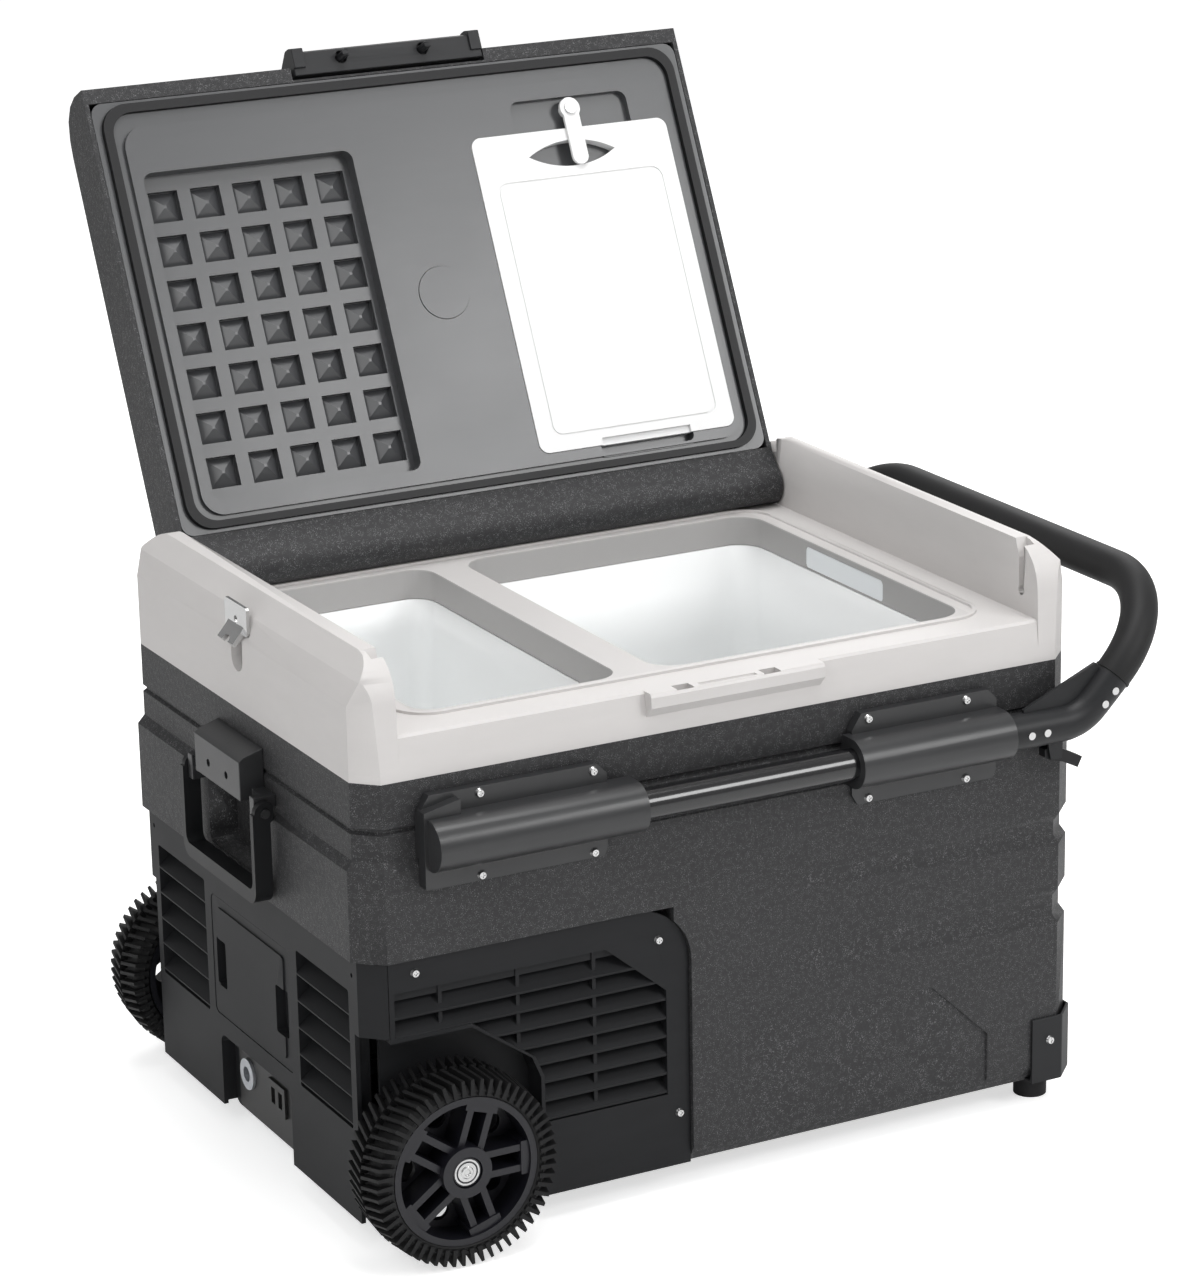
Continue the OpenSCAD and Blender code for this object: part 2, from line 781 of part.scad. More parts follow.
module wheel_axle() {
    color("#b5b8bb") {
        rod_y(axle_x, axle_z, axle_r, -wheel_y - wheel_w + 5, wheel_y + wheel_w - 5);
        both_sides() rod_y(axle_x, axle_z, 10, -wheel_y - wheel_w + 2, -wheel_y - wheel_w + 5);
    }
}

// wheel drawn with its inner face at y = 0 and its outer face at y = -wheel_w
module wheel_rim() {
    rim_r = 57;
    difference() {
        union() {
            // barrel
            difference() {
                rod_y(0, 0, rim_r, -wheel_w + 3, -3);
                rod_y(0, 0, rim_r - 5, -wheel_w - 1, 1);
            }
            // web behind the spokes
            rod_y(0, 0, rim_r - 1, -22, -18);
            // hub
            rod_y(0, 0, 19.5, -wheel_w + 1, -1);
            // spokes in pairs
            for (turn = [0:72:288]) rotate([0, turn + 18, 0]) for (x = [-8, 8]) {
                block([x - 2.6, -wheel_w + 6, 10], [x + 2.6, -20, rim_r - 3]);
            }
            for (turn = [0:72:288]) rotate([0, turn + 18, 0])
                block([-13, -wheel_w + 5, rim_r - 12], [13, -20, rim_r - 3]);
        }
        rod_y(0, 0, 12, -wheel_w - 1, -wheel_w + 5.6);
        rod_y(0, 0, axle_r + 0.06, -wheel_w - 1, 1);
        // windows between the spoke pairs
        for (turn = [0:72:288]) rotate([0, turn + 54, 0]) rod_y(0, 38, 9, -23, -17);
    }
}

module wheel_tyre() {
    lugs = 36;
    side_lug = 9;
    difference() {
        union() {
            rod_y(0, 0, wheel_r - 6, -wheel_w + 3, -3);
            for (i = [0:lugs - 1]) rotate([0, i * 360 / lugs, 0]) {
                // shoulder lugs, the two rows half a pitch apart
                translate([0, 0, wheel_r - 8]) block([-3.6, -wheel_w, 0], [3.6, -wheel_w / 2 - 3, 8]);
                rotate([0, 180 / lugs, 0]) translate([0, 0, wheel_r - 8])
                    block([-3.6, -wheel_w / 2 + 3, 0], [3.6, 0, 8]);
                translate([0, 0, wheel_r - 14]) block([-2.6, -wheel_w, 0], [2.6, -wheel_w + 4, side_lug]);
                rotate([0, 180 / lugs, 0]) translate([0, 0, wheel_r - 14])
                    block([-2.6, -4, 0], [2.6, 0, side_lug]);
            }
        }
        rod_y(0, 0, 57.2, -wheel_w - 1, 1);
    }
}

module place_wheel() {
    translate([axle_x, -wheel_y, axle_z]) children();
}

module front_wheel() {
    color("#141415") place_wheel() wheel_rim();
}

module rear_wheel() {
    color("#141415") mirror([0, 1, 0]) place_wheel() wheel_rim();
}

module front_tyre() {
    color("#1a1a1b") place_wheel() wheel_tyre();
}

module rear_tyre() {
    color("#1a1a1b") mirror([0, 1, 0]) place_wheel() wheel_tyre();
}

// ---------------------------------------------------------------- pull handle guides

// plate, half-round cover and bore of one guide on the front
module handle_guide(x0, x1, closed_end) {
    plate = [x0 - (closed_end ? 3 : -6), x1 - (closed_end ? 20 : 1)];
    low = tube_z - 37;
    high = tube_z + 34;
    difference() {
        union() {
            along_y(-hw - 8, -hw - 0.4) polygon([
                [plate[0] + 5, low], [plate[1] - 3, low], [plate[1], low + 6], [plate[1], high - 8],
                [plate[1] - 8, high], [plate[0] + 8, high], [plate[0], high - 12], [plate[0], low + 8]
            ]);
            rod_x(-tube_y, tube_z, guide_r, x0, x1);
            block([x0, -tube_y, tube_z - guide_r], [x1, -hw - 4, tube_z + guide_r]);
            if (closed_end) along_y(-hw - 16, -hw - 4) polygon([
                [x0 - 3, low + 4], [x0 + 26, low + 4], [x0 + 26, high - 4], [x0 - 3, high - 10]
            ]);
        }
        // the shell's lower part stands proud behind the plate
        block([x0 - 10, -hw - proud - 0.4, low - 10], [x1 + 10, -hw + 10, 284.6]);
        block([x0 - 10, -hw - 0.4, 284], [x1 + 10, -hw + 20, high + 10]);
        rod_x(-tube_y, tube_z, tube_r + 0.06, closed_end ? x0 + 6 : x0 - 1, x1 + 1);
        for (x = guide_screw_x(x0, x1, closed_end), z = guide_screw_z) rod_y(x, z, 2.1, -hw - 20, -hw);
    }
}

guide_screw_z = [tube_z - 33, tube_z + 29];

function guide_screw_x(x0, x1, closed_end) = closed_end ? [x0 + 45, x1 - 31] : [x0 + 20, x1 - 28];

module handle_guide_fl() {
    color("#2b2c2e") handle_guide(guides[0][0], guides[0][1], true);
}

module handle_guide_fr() {
    color("#2b2c2e") handle_guide(guides[1][0], guides[1][1], false);
}

module handle_guide_bl() {
    color("#2b2c2e") mirror([0, 1, 0]) handle_guide(guides[0][0], guides[0][1], true);
}

module handle_guide_br() {
    color("#2b2c2e") mirror([0, 1, 0]) handle_guide(guides[1][0], guides[1][1], false);
}

// pan-head screw on the front with its head's underside at y
module screw_y(x, y, z, shank = 14) {
    translate([x, y, z]) rotate([90, 0, 0]) difference() {
        union() {
            cylinder(r1 = 3.6, r2 = 2.6, h = 2, $fn = 24);
            translate([0, 0, -shank]) cylinder(r = 2, h = shank + 0.1, $fn = 24);
        }
        translate([-0.5, -1.8, 1.2]) cube([1, 3.6, 2]);
        translate([-1.8, -0.5, 1.2]) cube([3.6, 1, 2]);
    }
}

module screws() {
    color("#9fa1a4") both_sides() {
        for (x = guide_screw_places, z = guide_screw_z) screw_y(x, -hw - 8, z, 11);
        for (p = cover_screws) screw_y(p[0], -cover_y, p[1], p[0] > bay_x ? 7 : 3.4);
        screw_y(guard_screw[0], -hw - proud - 2.8, guard_screw[1], 8);
    }
}

// ---------------------------------------------------------------- carry handle

module carry_bracket() {
    color("#2a2b2d") difference() {
        union() {
            block([-hl - 20, -42, 286], [-hl - 0.2, 42, 312]);
            along_y(-42, 42) polygon([[-hl - 0.2, 312], [-hl - 20, 312], [-hl - 20, 316],
                [-hl - 16, 319], [-hl - 0.2, 324]]);
            // ears that carry the pivots
            for (s = [-1, 1]) translate([0, s * 58, 0]) block([-hl - 18, -4, 274], [-hl - 0.2, 4, 294]);
            for (s = [-1, 1]) block([-hl - 10, min(s * 42, s * 58), 286],
                [-hl - 0.2, max(s * 42, s * 58), 294]);
            rod_y(bail_x, bail_z, 3.5, -70, -50);
            rod_y(bail_x, bail_z, 3.5, 50, 70);
        }
        for (y = [-16.7, 16.7]) rod_x(y, 299, 3, -hl - 21, -hl + 1);
        // the shell's lower part stands proud
        block([-hl - proud - 0.4, -80, 200], [-hl + 10, 80, 284.8]);
    }
}

module carry_handle() {
    color("#1f2022") difference() {
        union() {
            for (s = [-1, 1]) {
                block([bail_x - 10, min(s * 63, s * 68.5), 226],
                    [bail_x + 4, max(s * 63, s * 68.5), bail_z]);
                rod_y(bail_x, bail_z, 8.5, min(s * 63, s * 68.5), max(s * 63, s * 68.5));
            }
            // grip bar with turned-up corners
            intersection() {
                block([bail_x - 10, -68.5, 212], [bail_x + 4, 68.5, 232]);
                along_x(bail_x - 10, bail_x + 4) difference() {
                    round_rect([-68.5, 212], [68.5, 262], 12);
                    round_rect([-63, 223], [63, 270], 7);
                }
            }
        }
        for (s = [-1, 1]) rod_y(bail_x, bail_z, 3.56, min(s * 60, s * 72), max(s * 60, s * 72));
        block([-hl - proud - 0.5, -80, 200], [-hl + 20, 80, 300]);
    }
}

// ---------------------------------------------------------------- lid, drawn closed

// side view of the lid's outline, as [y, z]
module lid_side(inset = 0) {
    back = roll_r - inset;
    union() {
        polygon([
            [-hw + 3 + inset, flange_z + inset], [pin_y - 22, flange_z + inset], [pin_y, pin_z - back],
            [pin_y + back * cos(26), pin_z + back * sin(26)],
            [pin_y + back * cos(26) - 0.4384 * 20, pin_z + back * sin(26) + 0.8988 * 20],
            [pin_y - 4 - inset, lid_top_z - 3 - inset], [pin_y - 16, lid_top_z - inset],
            [-hw + 44, lid_top_z - inset], [-hw + 30, lid_top_z - 1.5 - inset],
                [-hw + 16, lid_top_z - 7 - inset],
            [-hw + 7 + inset, lid_top_z - 17], [-hw + 3 + inset, lid_top_z - 30]
        ]);
        translate([pin_y, pin_z]) circle(back, $fn = 72);
    }
}

module lid_shell() {
    color("#3c3c3e") opened() difference() {
        along_x(-lid_x, lid_x) lid_side();
        along_x(-lid_x + 4, lid_x - 4) lid_inside();
        // bores for the hinge pins
        for (s = [-1, 1]) rod_x(pin_y, pin_z, pin_r, min(s * (lid_x - 24), s * (lid_x + 1)),
            max(s * (lid_x - 24), s * (lid_x + 1)));
        // pocket of the latch
        block([-86, -hw - 1, flange_z - 1], [86, -hw + 13, latch_z + 10]);
        rod_x(latch_y, latch_z, 2, -92.2, 92.2);
    }
}

// hollow of the lid shell, open on the underside, as [y, z]
module lid_inside() {
    polygon([
        [-hw + 15, flange_z - 1], [pin_y - 28, flange_z - 1], [pin_y - 28, lid_top_z - 14],
        [pin_y - 40, lid_top_z - 4], [-hw + 44, lid_top_z - 4], [-hw + 15, lid_top_z - 26]
    ]);
}

module lid_foam() {
    color("#e6dbb4") opened() difference() {
        block([-240, -162, flange_z + 3.3], [240, 140, lid_top_z - 5]);
        block([-236, -140, flange_z - 1], [-46, 138, flange_z + 26]);
        block([50, -166, flange_z - 1], [238, 141, flange_z + 16]);
        rod_z(2, -8, 26, flange_z - 1, flange_z + 14);
    }
}

// rod along Z
module rod_z(x, y, r, z0, z1) {
    translate([x, y, z0]) cylinder(r = r, h = z1 - z0, $fn = fine);
}

tray_low = [-232, -134];
tray_high = [-51, 132];
tray_depth = 9;
board_low = [55, -131];
board_high = [236, 135];

// one pyramid standing in a square dimple of the tray's floor
module tray_dimple(x, y) {
    side = 25;
    translate([x, y, flange_z + tray_depth]) difference() {
        translate([-side / 2, -side / 2, -1]) cube([side, side, 7]);
        translate([0, 0, 6]) rotate([180, 0, 45])
            cylinder(r1 = side / sqrt(2) - 0.6, r2 = 0.4, h = 6.5, $fn = 4);
    }
}

module lid_liner() {
    color("#55575a") opened() difference() {
        union() {
            // flange floor and the raised panel
            round_block([-lid_x + 4.4, -hw + 15.4, flange_z + 0.4],
                [lid_x - 4.4, pin_y - 28.4, flange_z + 3], 10);
            round_block([-241, -172, flange_z - panel_h], [241, 144, flange_z + 3], 18);
            // back of the tray and of the board's recess
            round_block([tray_low[0] - 3, tray_low[1] - 3, flange_z - 1],
                [tray_high[0] + 3, tray_high[1] + 3, flange_z + tray_depth + 9], 11);
            round_block([board_low[0] - 3, board_low[1] - 3, flange_z - 1],
                [board_high[0] + 1.5, board_high[1] + 3, flange_z + 12], 12);
            round_block([94, -164, flange_z - 1], [208, -120, flange_z + 12], 10);
            round_block([107, 116, flange_z - 1], [199, 145, flange_z + 9.2], 7);
        }
        // gasket channel
        difference() {
            round_block([-256, -192, flange_z - 5], [256, 154, flange_z + 1.6], 22);
            round_block([-248, -184, flange_z - 6], [248, 147.5, flange_z + 3], 18);
        }
        round_block([tray_low[0], tray_low[1], flange_z - 6],
            [tray_high[0], tray_high[1], flange_z + tray_depth], 8);
        for (i = [0:4], j = [0:6]) tray_dimple(-213.7 + i * 36.1, -108.3 + j * 36.1);
        // recess of the cutting board, its finger notch and the clip's notch
        round_block([board_low[0] - 0.4, board_low[1] - 0.4, flange_z - 6],
            [board_high[0] + 0.4, board_high[1] + 0.4, flange_z + 6.4], 9);
        round_block([110, 120, flange_z - 6], [196, 142, flange_z + 6.4], 5);
        round_block([97, -158, flange_z - 6], [205, -120, flange_z + 3], 8);
        rod_z(149.5, -147, 2.5, flange_z - 1, flange_z + 13);
        // hole of the round plug
        rod_z(2, -8, 22.2, flange_z - 6, flange_z + 12);
    }
}

module lid_gasket() {
    color("#151516") opened() difference() {
        round_block([-255.6, -191.6, flange_z - 3.8], [255.6, 153.6, flange_z + 1.4], 21.6);
        round_block([-248.4, -184.4, flange_z - 6], [248.4, 147.9, flange_z + 3], 18.4);
    }
}

module lid_plug() {
    color("#6a6c70") opened() {
        rod_z(2, -8, 21.8, flange_z - panel_h - 0.8, flange_z + 8);
    }
}

module hinge_pins() {
    color("#c3c6c9") opened() for (s = [-1, 1]) {
        rod_x(pin_y, pin_z, pin_r - 0.02, min(s * (lid_x - 23.6), s * (cheek_x + 7)),
            max(s * (lid_x - 23.6), s * (cheek_x + 7)));
    }
}

module cutting_board() {
    r = 8.6;
    color("#ececec") opened() difference() {
        round_block([board_low[0], board_low[1], flange_z - panel_h - 1],
            [board_high[0], board_high[1], flange_z + 6], r);
        // oval hand hole
        translate([144, -110, flange_z - 10]) intersection() {
            translate([0, 67, 0]) cylinder(r = 78, h = 20, $fn = 96);
            translate([0, -67, 0]) cylinder(r = 78, h = 20, $fn = 96);
        }
        // juice groove
        difference() {
            round_block([board_low[0] + 14, board_low[1] + 40, flange_z - 9],
                [board_high[0] - 14, board_high[1] - 12, flange_z - panel_h], 10);
            round_block([board_low[0] + 16, board_low[1] + 42, flange_z - 10],
                [board_high[0] - 16, board_high[1] - 14, flange_z + 1], 8);
        }
        // step that clears the finger notch
        block([112, board_high[1] - 6, flange_z - 9], [194, board_high[1] + 1, flange_z - 1]);
    }
}

module board_clip() {
    low = flange_z - panel_h - 4.4;
    color("#e9e9e8") opened() difference() {
        union() {
            rod_z(149.5, -147, 9, low, low + 3);
            block([142.5, -147, low], [156.5, -106, low + 3]);
            rod_z(149.5, -106, 7, low, low + 3);
            rod_z(149.5, -147, 6, low, flange_z + 2.8);
        }
        rod_z(149.5, -147, 2.56, low - 1, flange_z + 4);
    }
}

module clip_screw() {
    low = flange_z - panel_h - 4.4;
    color("#d0d2d4") opened() {
        rod_z(149.5, -147, 2.5, low - 0.2, flange_z + 10);
        rod_z(149.5, -147, 5, low - 2, low - 0.2);
    }
}

module lid_latch() {
    color("#38393b") opened() {
        difference() {
            union() {
                along_x(-84, 84) polygon([
                    [latch_y - 13.5, flange_z + 1], [latch_y - 11.5, flange_z - 2.6],
                        [latch_y + 7, flange_z - 2.6],
                    [latch_y + 7, flange_z + 16], [latch_y + 2.5, latch_z + 6], [latch_y - 2, latch_z + 7],
                    [latch_y - 9, latch_z - 2], [latch_y - 13.5, flange_z + 8]
                ]);
                // thicker ends
                for (x = [-84, 74]) along_x(x, x + 10) polygon([
                    [latch_y - 17, flange_z + 2], [latch_y - 15, flange_z - 5], [latch_y + 1, flange_z - 5],
                    [latch_y + 1, flange_z + 10], [latch_y - 9, latch_z - 2], [latch_y - 17, flange_z + 9]
                ]);
            }
            rod_x(latch_y, latch_z, 2.06, -90, 90);
            for (x = hook_x) rod_z(x, latch_y - 5, 5.5, flange_z - 4, flange_z + 4);
        }
        // hooks that drop into the frame's slots
        for (x = hook_x) rod_z(x, latch_y - 5, 3.2, flange_z - 14, flange_z + 4.2);
    }
}

module latch_pin() {
    color("#c3c6c9") opened() rod_x(latch_y, latch_z, 1.98, -92, 92);
}

// ---------------------------------------------------------------- pull handle

module handle_tubes() {
    color("#0e0e0f") both_sides() difference() {
        rod_x(-tube_y, tube_z, tube_r, tube_start_x, arm_start_x + 30);
        rod_x(-tube_y, tube_z, tube_r - 2, tube_start_x - 1, arm_start_x + 31);
    }
}

// arm of the handle from the tube's end to the grip, on the front
module handle_arm() {
    slope = 45;
    bend_r = 40;
    run = bend_r * tan(slope / 2);
    difference() {
        union() {
            rod_x(-tube_y, tube_z, arm_r, arm_start_x, bend_x - run);
            translate([bend_x - run, -tube_y, tube_z + bend_r]) rotate([90, 0, 0]) rotate([0, 0, -90]) {
                rotate_extrude(angle = slope, $fn = 96) translate([bend_r, 0]) circle(arm_r, $fn = fine);
            }
            translate([bend_x, -tube_y, tube_z]) rotate([0, 90 - slope, 0]) {
                translate([0, 0, run]) cylinder(r = arm_r, h = 42.9 - run, $fn = fine);
            }
            // web inside the bend
            along_y(-tube_y - 1.5, -tube_y + 1.5) polygon([
                [arm_start_x + 14, tube_z + 10], [arm_start_x + 14, tube_z + 16.5],
                [bend_x + 14.5, tube_z + 43.5], [bend_x + 22.5, tube_z + 34.5], [bend_x - 2, tube_z + 8]
            ]);
            // ears and pin of the release lever
            for (y = [-tube_y - 6.5, -tube_y + 4.4]) along_y(y, y + 2.1) polygon([
                [lever_x - 8.5, tube_z - 9], [lever_x + 5.5, tube_z - 9], [lever_x + 5, lever_z - 5],
                    [lever_x - 5, lever_z - 5]
            ]);
            rod_y(lever_x, lever_z, 2, -tube_y - 6, -tube_y + 6);
        }
        rod_x(-tube_y, tube_z, tube_r + 0.02, arm_start_x - 1, arm_start_x + 31);
    }
}

module handle_arms() {
    color("#2e2f32") both_sides() handle_arm();
}

// grip sleeve: two quarter turns and a cross bar in a plane tilted by 45 degrees
module handle_grip() {
    half = tube_y - corner_r;
    color("#232325") translate([grip_x, 0, tube_z + grip_x - bend_x]) rotate([0, -45, 0]) {
        rod_y(0, 0, grip_r, -half, half);
        both_sides() translate([-corner_r, -half, 0]) {
            rotate([0, 0, -90]) rotate_extrude(angle = 90, $fn = 128) translate([corner_r, 0])
                circle(grip_r, $fn = fine);
            translate([0, -corner_r, 0]) rotate([0, -90, 0]) cylinder(r = grip_r + 0.6, h = 2, $fn = fine);
        }
    }
}

module handle_rivets() {
    color("#d6d8da") both_sides() {
        for (p = rivet_places) rod_y(p[0], p[1], 3, -tube_y - arm_r - 1, -tube_y - tube_r - 0.7);
    }
}

// spring-loaded catch under the arm
module release_lever() {
    difference() {
        union() {
            along_y(-tube_y - 4, -tube_y + 4) polygon([
                [lever_x - 9, lever_z - 3], [lever_x - 9, lever_z + 3], [lever_x - 6, lever_z + 4.4],
                [lever_x + 1, lever_z + 4.4], [lever_x + 25, lever_z - 8], [lever_x + 21, lever_z - 16],
                [lever_x + 7, lever_z - 9], [lever_x - 4, lever_z - 6]
            ]);
        }
        rod_y(lever_x, lever_z, 2.06, -tube_y - 10, -tube_y + 10);
    }
}

module release_lever_front() {
    color("#17181a") release_lever();
}

module release_lever_rear() {
    color("#17181a") mirror([0, 1, 0]) release_lever();
}

// ---------------------------------------------------------------- nodes

body_shell();
top_frame();
insulation();
small_tub();
large_tub();
led_panel();
front_cover();
rear_cover();
end_cover();
power_plate();
dc_socket();
usb_socket();
battery_pack();
battery_door();
base_plate();
compressor();
compressor_feet();
condenser();
refrigerant_pipes();
fan_frame();
fan_rotor();
control_board();
bottle_opener();
corner_guards();
feet();
wheel_axle();
screws();
control_panel();
display();
power_button();
zone_button();
plus_button();
minus_button();
handle_guide_fl();
handle_guide_fr();
handle_guide_bl();
handle_guide_br();
carry_bracket();
carry_handle();
lid_shell();
lid_foam();
lid_liner();
lid_gasket();
lid_plug();
hinge_pins();
cutting_board();
board_clip();
clip_screw();
lid_latch();
latch_pin();
handle_tubes();
handle_arms();
handle_grip();
handle_rivets();
release_lever_front();
release_lever_rear();
front_wheel();
rear_wheel();
front_tyre();
rear_tyre();
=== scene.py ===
"""Looks and staging of a two-zone compressor cooler on wheels.

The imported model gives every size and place. The classes below dress its parts,
round their edges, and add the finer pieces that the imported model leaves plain.
Everything is in metres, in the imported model's own frame.
"""
import sys
import json
import logging
import math
from dataclasses import dataclass
from enum import Enum
from typing import Any, Optional, Sequence, Union

import bmesh
import bpy
from mathutils import Matrix, Vector


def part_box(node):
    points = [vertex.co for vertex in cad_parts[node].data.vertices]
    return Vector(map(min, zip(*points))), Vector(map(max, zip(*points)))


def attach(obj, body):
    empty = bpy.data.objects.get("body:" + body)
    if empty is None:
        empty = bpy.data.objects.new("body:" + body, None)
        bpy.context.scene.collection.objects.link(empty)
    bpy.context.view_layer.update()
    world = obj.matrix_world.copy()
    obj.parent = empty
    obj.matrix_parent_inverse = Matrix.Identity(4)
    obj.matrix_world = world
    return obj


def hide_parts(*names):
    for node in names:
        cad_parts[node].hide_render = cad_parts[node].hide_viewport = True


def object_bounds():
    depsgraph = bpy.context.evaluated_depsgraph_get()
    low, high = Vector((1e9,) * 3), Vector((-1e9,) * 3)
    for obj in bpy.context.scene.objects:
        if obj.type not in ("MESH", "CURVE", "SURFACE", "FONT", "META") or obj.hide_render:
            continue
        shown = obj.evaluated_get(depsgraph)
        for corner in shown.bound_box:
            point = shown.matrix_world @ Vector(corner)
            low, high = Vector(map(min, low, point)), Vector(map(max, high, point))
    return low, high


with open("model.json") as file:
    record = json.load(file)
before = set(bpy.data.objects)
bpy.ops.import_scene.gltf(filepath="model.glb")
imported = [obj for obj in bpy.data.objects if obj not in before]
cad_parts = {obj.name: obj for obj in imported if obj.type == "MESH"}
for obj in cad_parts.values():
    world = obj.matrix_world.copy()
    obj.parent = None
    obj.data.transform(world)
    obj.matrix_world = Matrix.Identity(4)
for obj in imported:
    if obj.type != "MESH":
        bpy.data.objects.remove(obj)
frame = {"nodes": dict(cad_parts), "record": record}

LOG = logging.getLogger("cooler")
CAD_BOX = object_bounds()
SAME_PLACE = 1e-6  # metres between points that are merged

Colour = tuple[float, float, float]
Number = Union[float, "Value"]


# ------------------------------------------------------------------ materials


class Value:
    """A number that varies over a surface, held in one output socket."""

    def __init__(self, tree: bpy.types.NodeTree, socket: bpy.types.NodeSocket) -> None:
        """Wraps an output socket.

        Args:
            tree: Node tree that the socket belongs to.
            socket: The output socket.
        """
        self.tree = tree
        self.socket = socket

    def math(self, operation: str, first: Number, second: Number = 0.0) -> "Value":
        """Adds one Math node.

        Args:
            operation: The node's operation, such as "ADD".
            first: First operand.
            second: Second operand.

        Returns:
            The node's result.
        """
        node = self.tree.nodes.new("ShaderNodeMath")
        node.operation = operation
        for slot, operand in zip(node.inputs, (first, second)):
            if isinstance(operand, Value):
                self.tree.links.new(operand.socket, slot)
            else:
                slot.default_value = operand
        return Value(self.tree, node.outputs[0])

    def __add__(self, other: Number) -> "Value":
        """Returns self + other."""
        return self.math("ADD", self, other)

    __radd__ = __add__

    def __sub__(self, other: Number) -> "Value":
        """Returns self - other."""
        return self.math("SUBTRACT", self, other)

    def __rsub__(self, other: Number) -> "Value":
        """Returns other - self."""
        return self.math("SUBTRACT", other, self)

    def __mul__(self, other: Number) -> "Value":
        """Returns self * other."""
        return self.math("MULTIPLY", self, other)

    __rmul__ = __mul__

    def __truediv__(self, other: Number) -> "Value":
        """Returns self / other."""
        return self.math("DIVIDE", self, other)

    def clamped(self) -> "Value":
        """Returns the value kept between 0 and 1."""
        return self.math("MAXIMUM", self.math("MINIMUM", self, 1.0), 0.0)

    def above(self, edge: float, softness: float) -> "Value":
        """Returns a mask that rises from 0 to 1 over softness from edge."""
        return ((self - edge) / softness).clamped()


class Paint:
    """Builds one node material on a Principled shader."""

    def __init__(self, name: str) -> None:
        """Starts an empty material.

        Args:
            name: Name of the material.
        """
        self.material = bpy.data.materials.new(name)
        self.material.use_nodes = True
        self.tree = self.material.node_tree
        self.tree.nodes.clear()
        self.shader = self.tree.nodes.new("ShaderNodeBsdfPrincipled")
        output = self.tree.nodes.new("ShaderNodeOutputMaterial")
        self.tree.links.new(self.shader.outputs["BSDF"], output.inputs["Surface"])

    def node(
        self, kind: str, settings: dict[str, Any], sockets: dict[Union[str, int], Any]
    ) -> bpy.types.Node:
        """Adds a node.

        Args:
            kind: The node's type name.
            settings: Properties that are set first.
            sockets: Values or links of its inputs, by name or number.

        Returns:
            The new node.
        """
        node = self.tree.nodes.new(kind)
        for key, value in settings.items():
            setattr(node, key, value)
        for key, value in sockets.items():
            slot = node.inputs[key]
            if isinstance(value, Value):
                self.tree.links.new(value.socket, slot)
            elif isinstance(value, bpy.types.NodeSocket):
                self.tree.links.new(value, slot)
            else:
                slot.default_value = value
        return node

    def place(self, scale: Sequence[float] = (1, 1, 1)) -> bpy.types.NodeSocket:
        """Returns the piece's own coordinates, scaled."""
        where = self.node("ShaderNodeTexCoord", {}, {})
        mapping = self.node("ShaderNodeMapping", {}, {0: where.outputs["Object"], 3: scale})
        return mapping.outputs[0]

    def noise(
        self, where: bpy.types.NodeSocket, scale: float, detail: float = 2.0, rough: float = 0.5
    ) -> Value:
        """Returns fractal noise.

        Args:
            where: Coordinates.
            scale: Waves per metre.
            detail: Octaves.
            rough: How much the finer octaves weigh.

        Returns:
            The noise, around 0.5.
        """
        sockets = {"Vector": where, "Scale": scale, "Detail": detail, "Roughness": rough}
        return Value(self.tree, self.node("ShaderNodeTexNoise", {}, sockets).outputs[0])

    def cells(
        self, where: bpy.types.NodeSocket, scale: float, feature: str = "SMOOTH_F1"
    ) -> Value:
        """Returns the distance to the nearest of many scattered points."""
        sockets = {"Vector": where, "Scale": scale}
        node = self.node("ShaderNodeTexVoronoi", {"feature": feature}, sockets)
        return Value(self.tree, node.outputs["Distance"])

    def blend(self, low: Colour, high: Colour, mask: Value) -> bpy.types.NodeSocket:
        """Returns a colour between low and high by mask."""
        sockets = {0: mask, 6: (*low, 1.0), 7: (*high, 1.0)}
        return self.node("ShaderNodeMix", {"data_type": "RGBA"}, sockets).outputs[2]

    def overlay(
        self, base: bpy.types.NodeSocket, top: Colour, mask: Value
    ) -> bpy.types.NodeSocket:
        """Returns base with the colour top laid over it by mask."""
        sockets = {0: mask, 6: base, 7: (*top, 1.0)}
        return self.node("ShaderNodeMix", {"data_type": "RGBA"}, sockets).outputs[2]

    def colour(self, socket: bpy.types.NodeSocket) -> None:
        """Links the base colour."""
        self.tree.links.new(socket, self.shader.inputs["Base Color"])

    def vary(self, name: str, value: Value) -> None:
        """Links one of the shader's varying sockets."""
        self.tree.links.new(value.socket, self.shader.inputs[name])

    def fixed(self, **values: Union[float, Sequence[float]]) -> None:
        """Sets sockets that are the same all over, such as coat_weight=0.3."""
        for name, value in values.items():
            socket = name.replace("_", " ").title().replace("Ior", "IOR")
            self.shader.inputs[socket].default_value = value

    def relief(self, height: Value, depth: float) -> None:
        """Raises the surface by height times depth, in metres, as a bump."""
        sockets = {"Height": height, "Distance": depth, "Strength": 1.0}
        bump = self.node("ShaderNodeBump", {}, sockets)
        self.tree.links.new(bump.outputs[0], self.shader.inputs["Normal"])


def shade(colour: Colour, factor: float) -> Colour:
    """Returns a colour made lighter or darker by a factor."""
    return tuple(min(1.0, c * factor) for c in colour)


MOUTH_TOP = 0.3735  # height where the walls inside the mouths end
MOUTH_HALF_WIDTH = 0.1675
MOUTH_HALF_LENGTH = 0.2335


class Grain(Enum):
    """Kinds of surface grain."""

    PEBBLE = "pebble"
    FINE = "fine"
    BRUSHED = "brushed"
    SMOOTH = "smooth"
    FOAM = "foam"
    CAST = "cast"


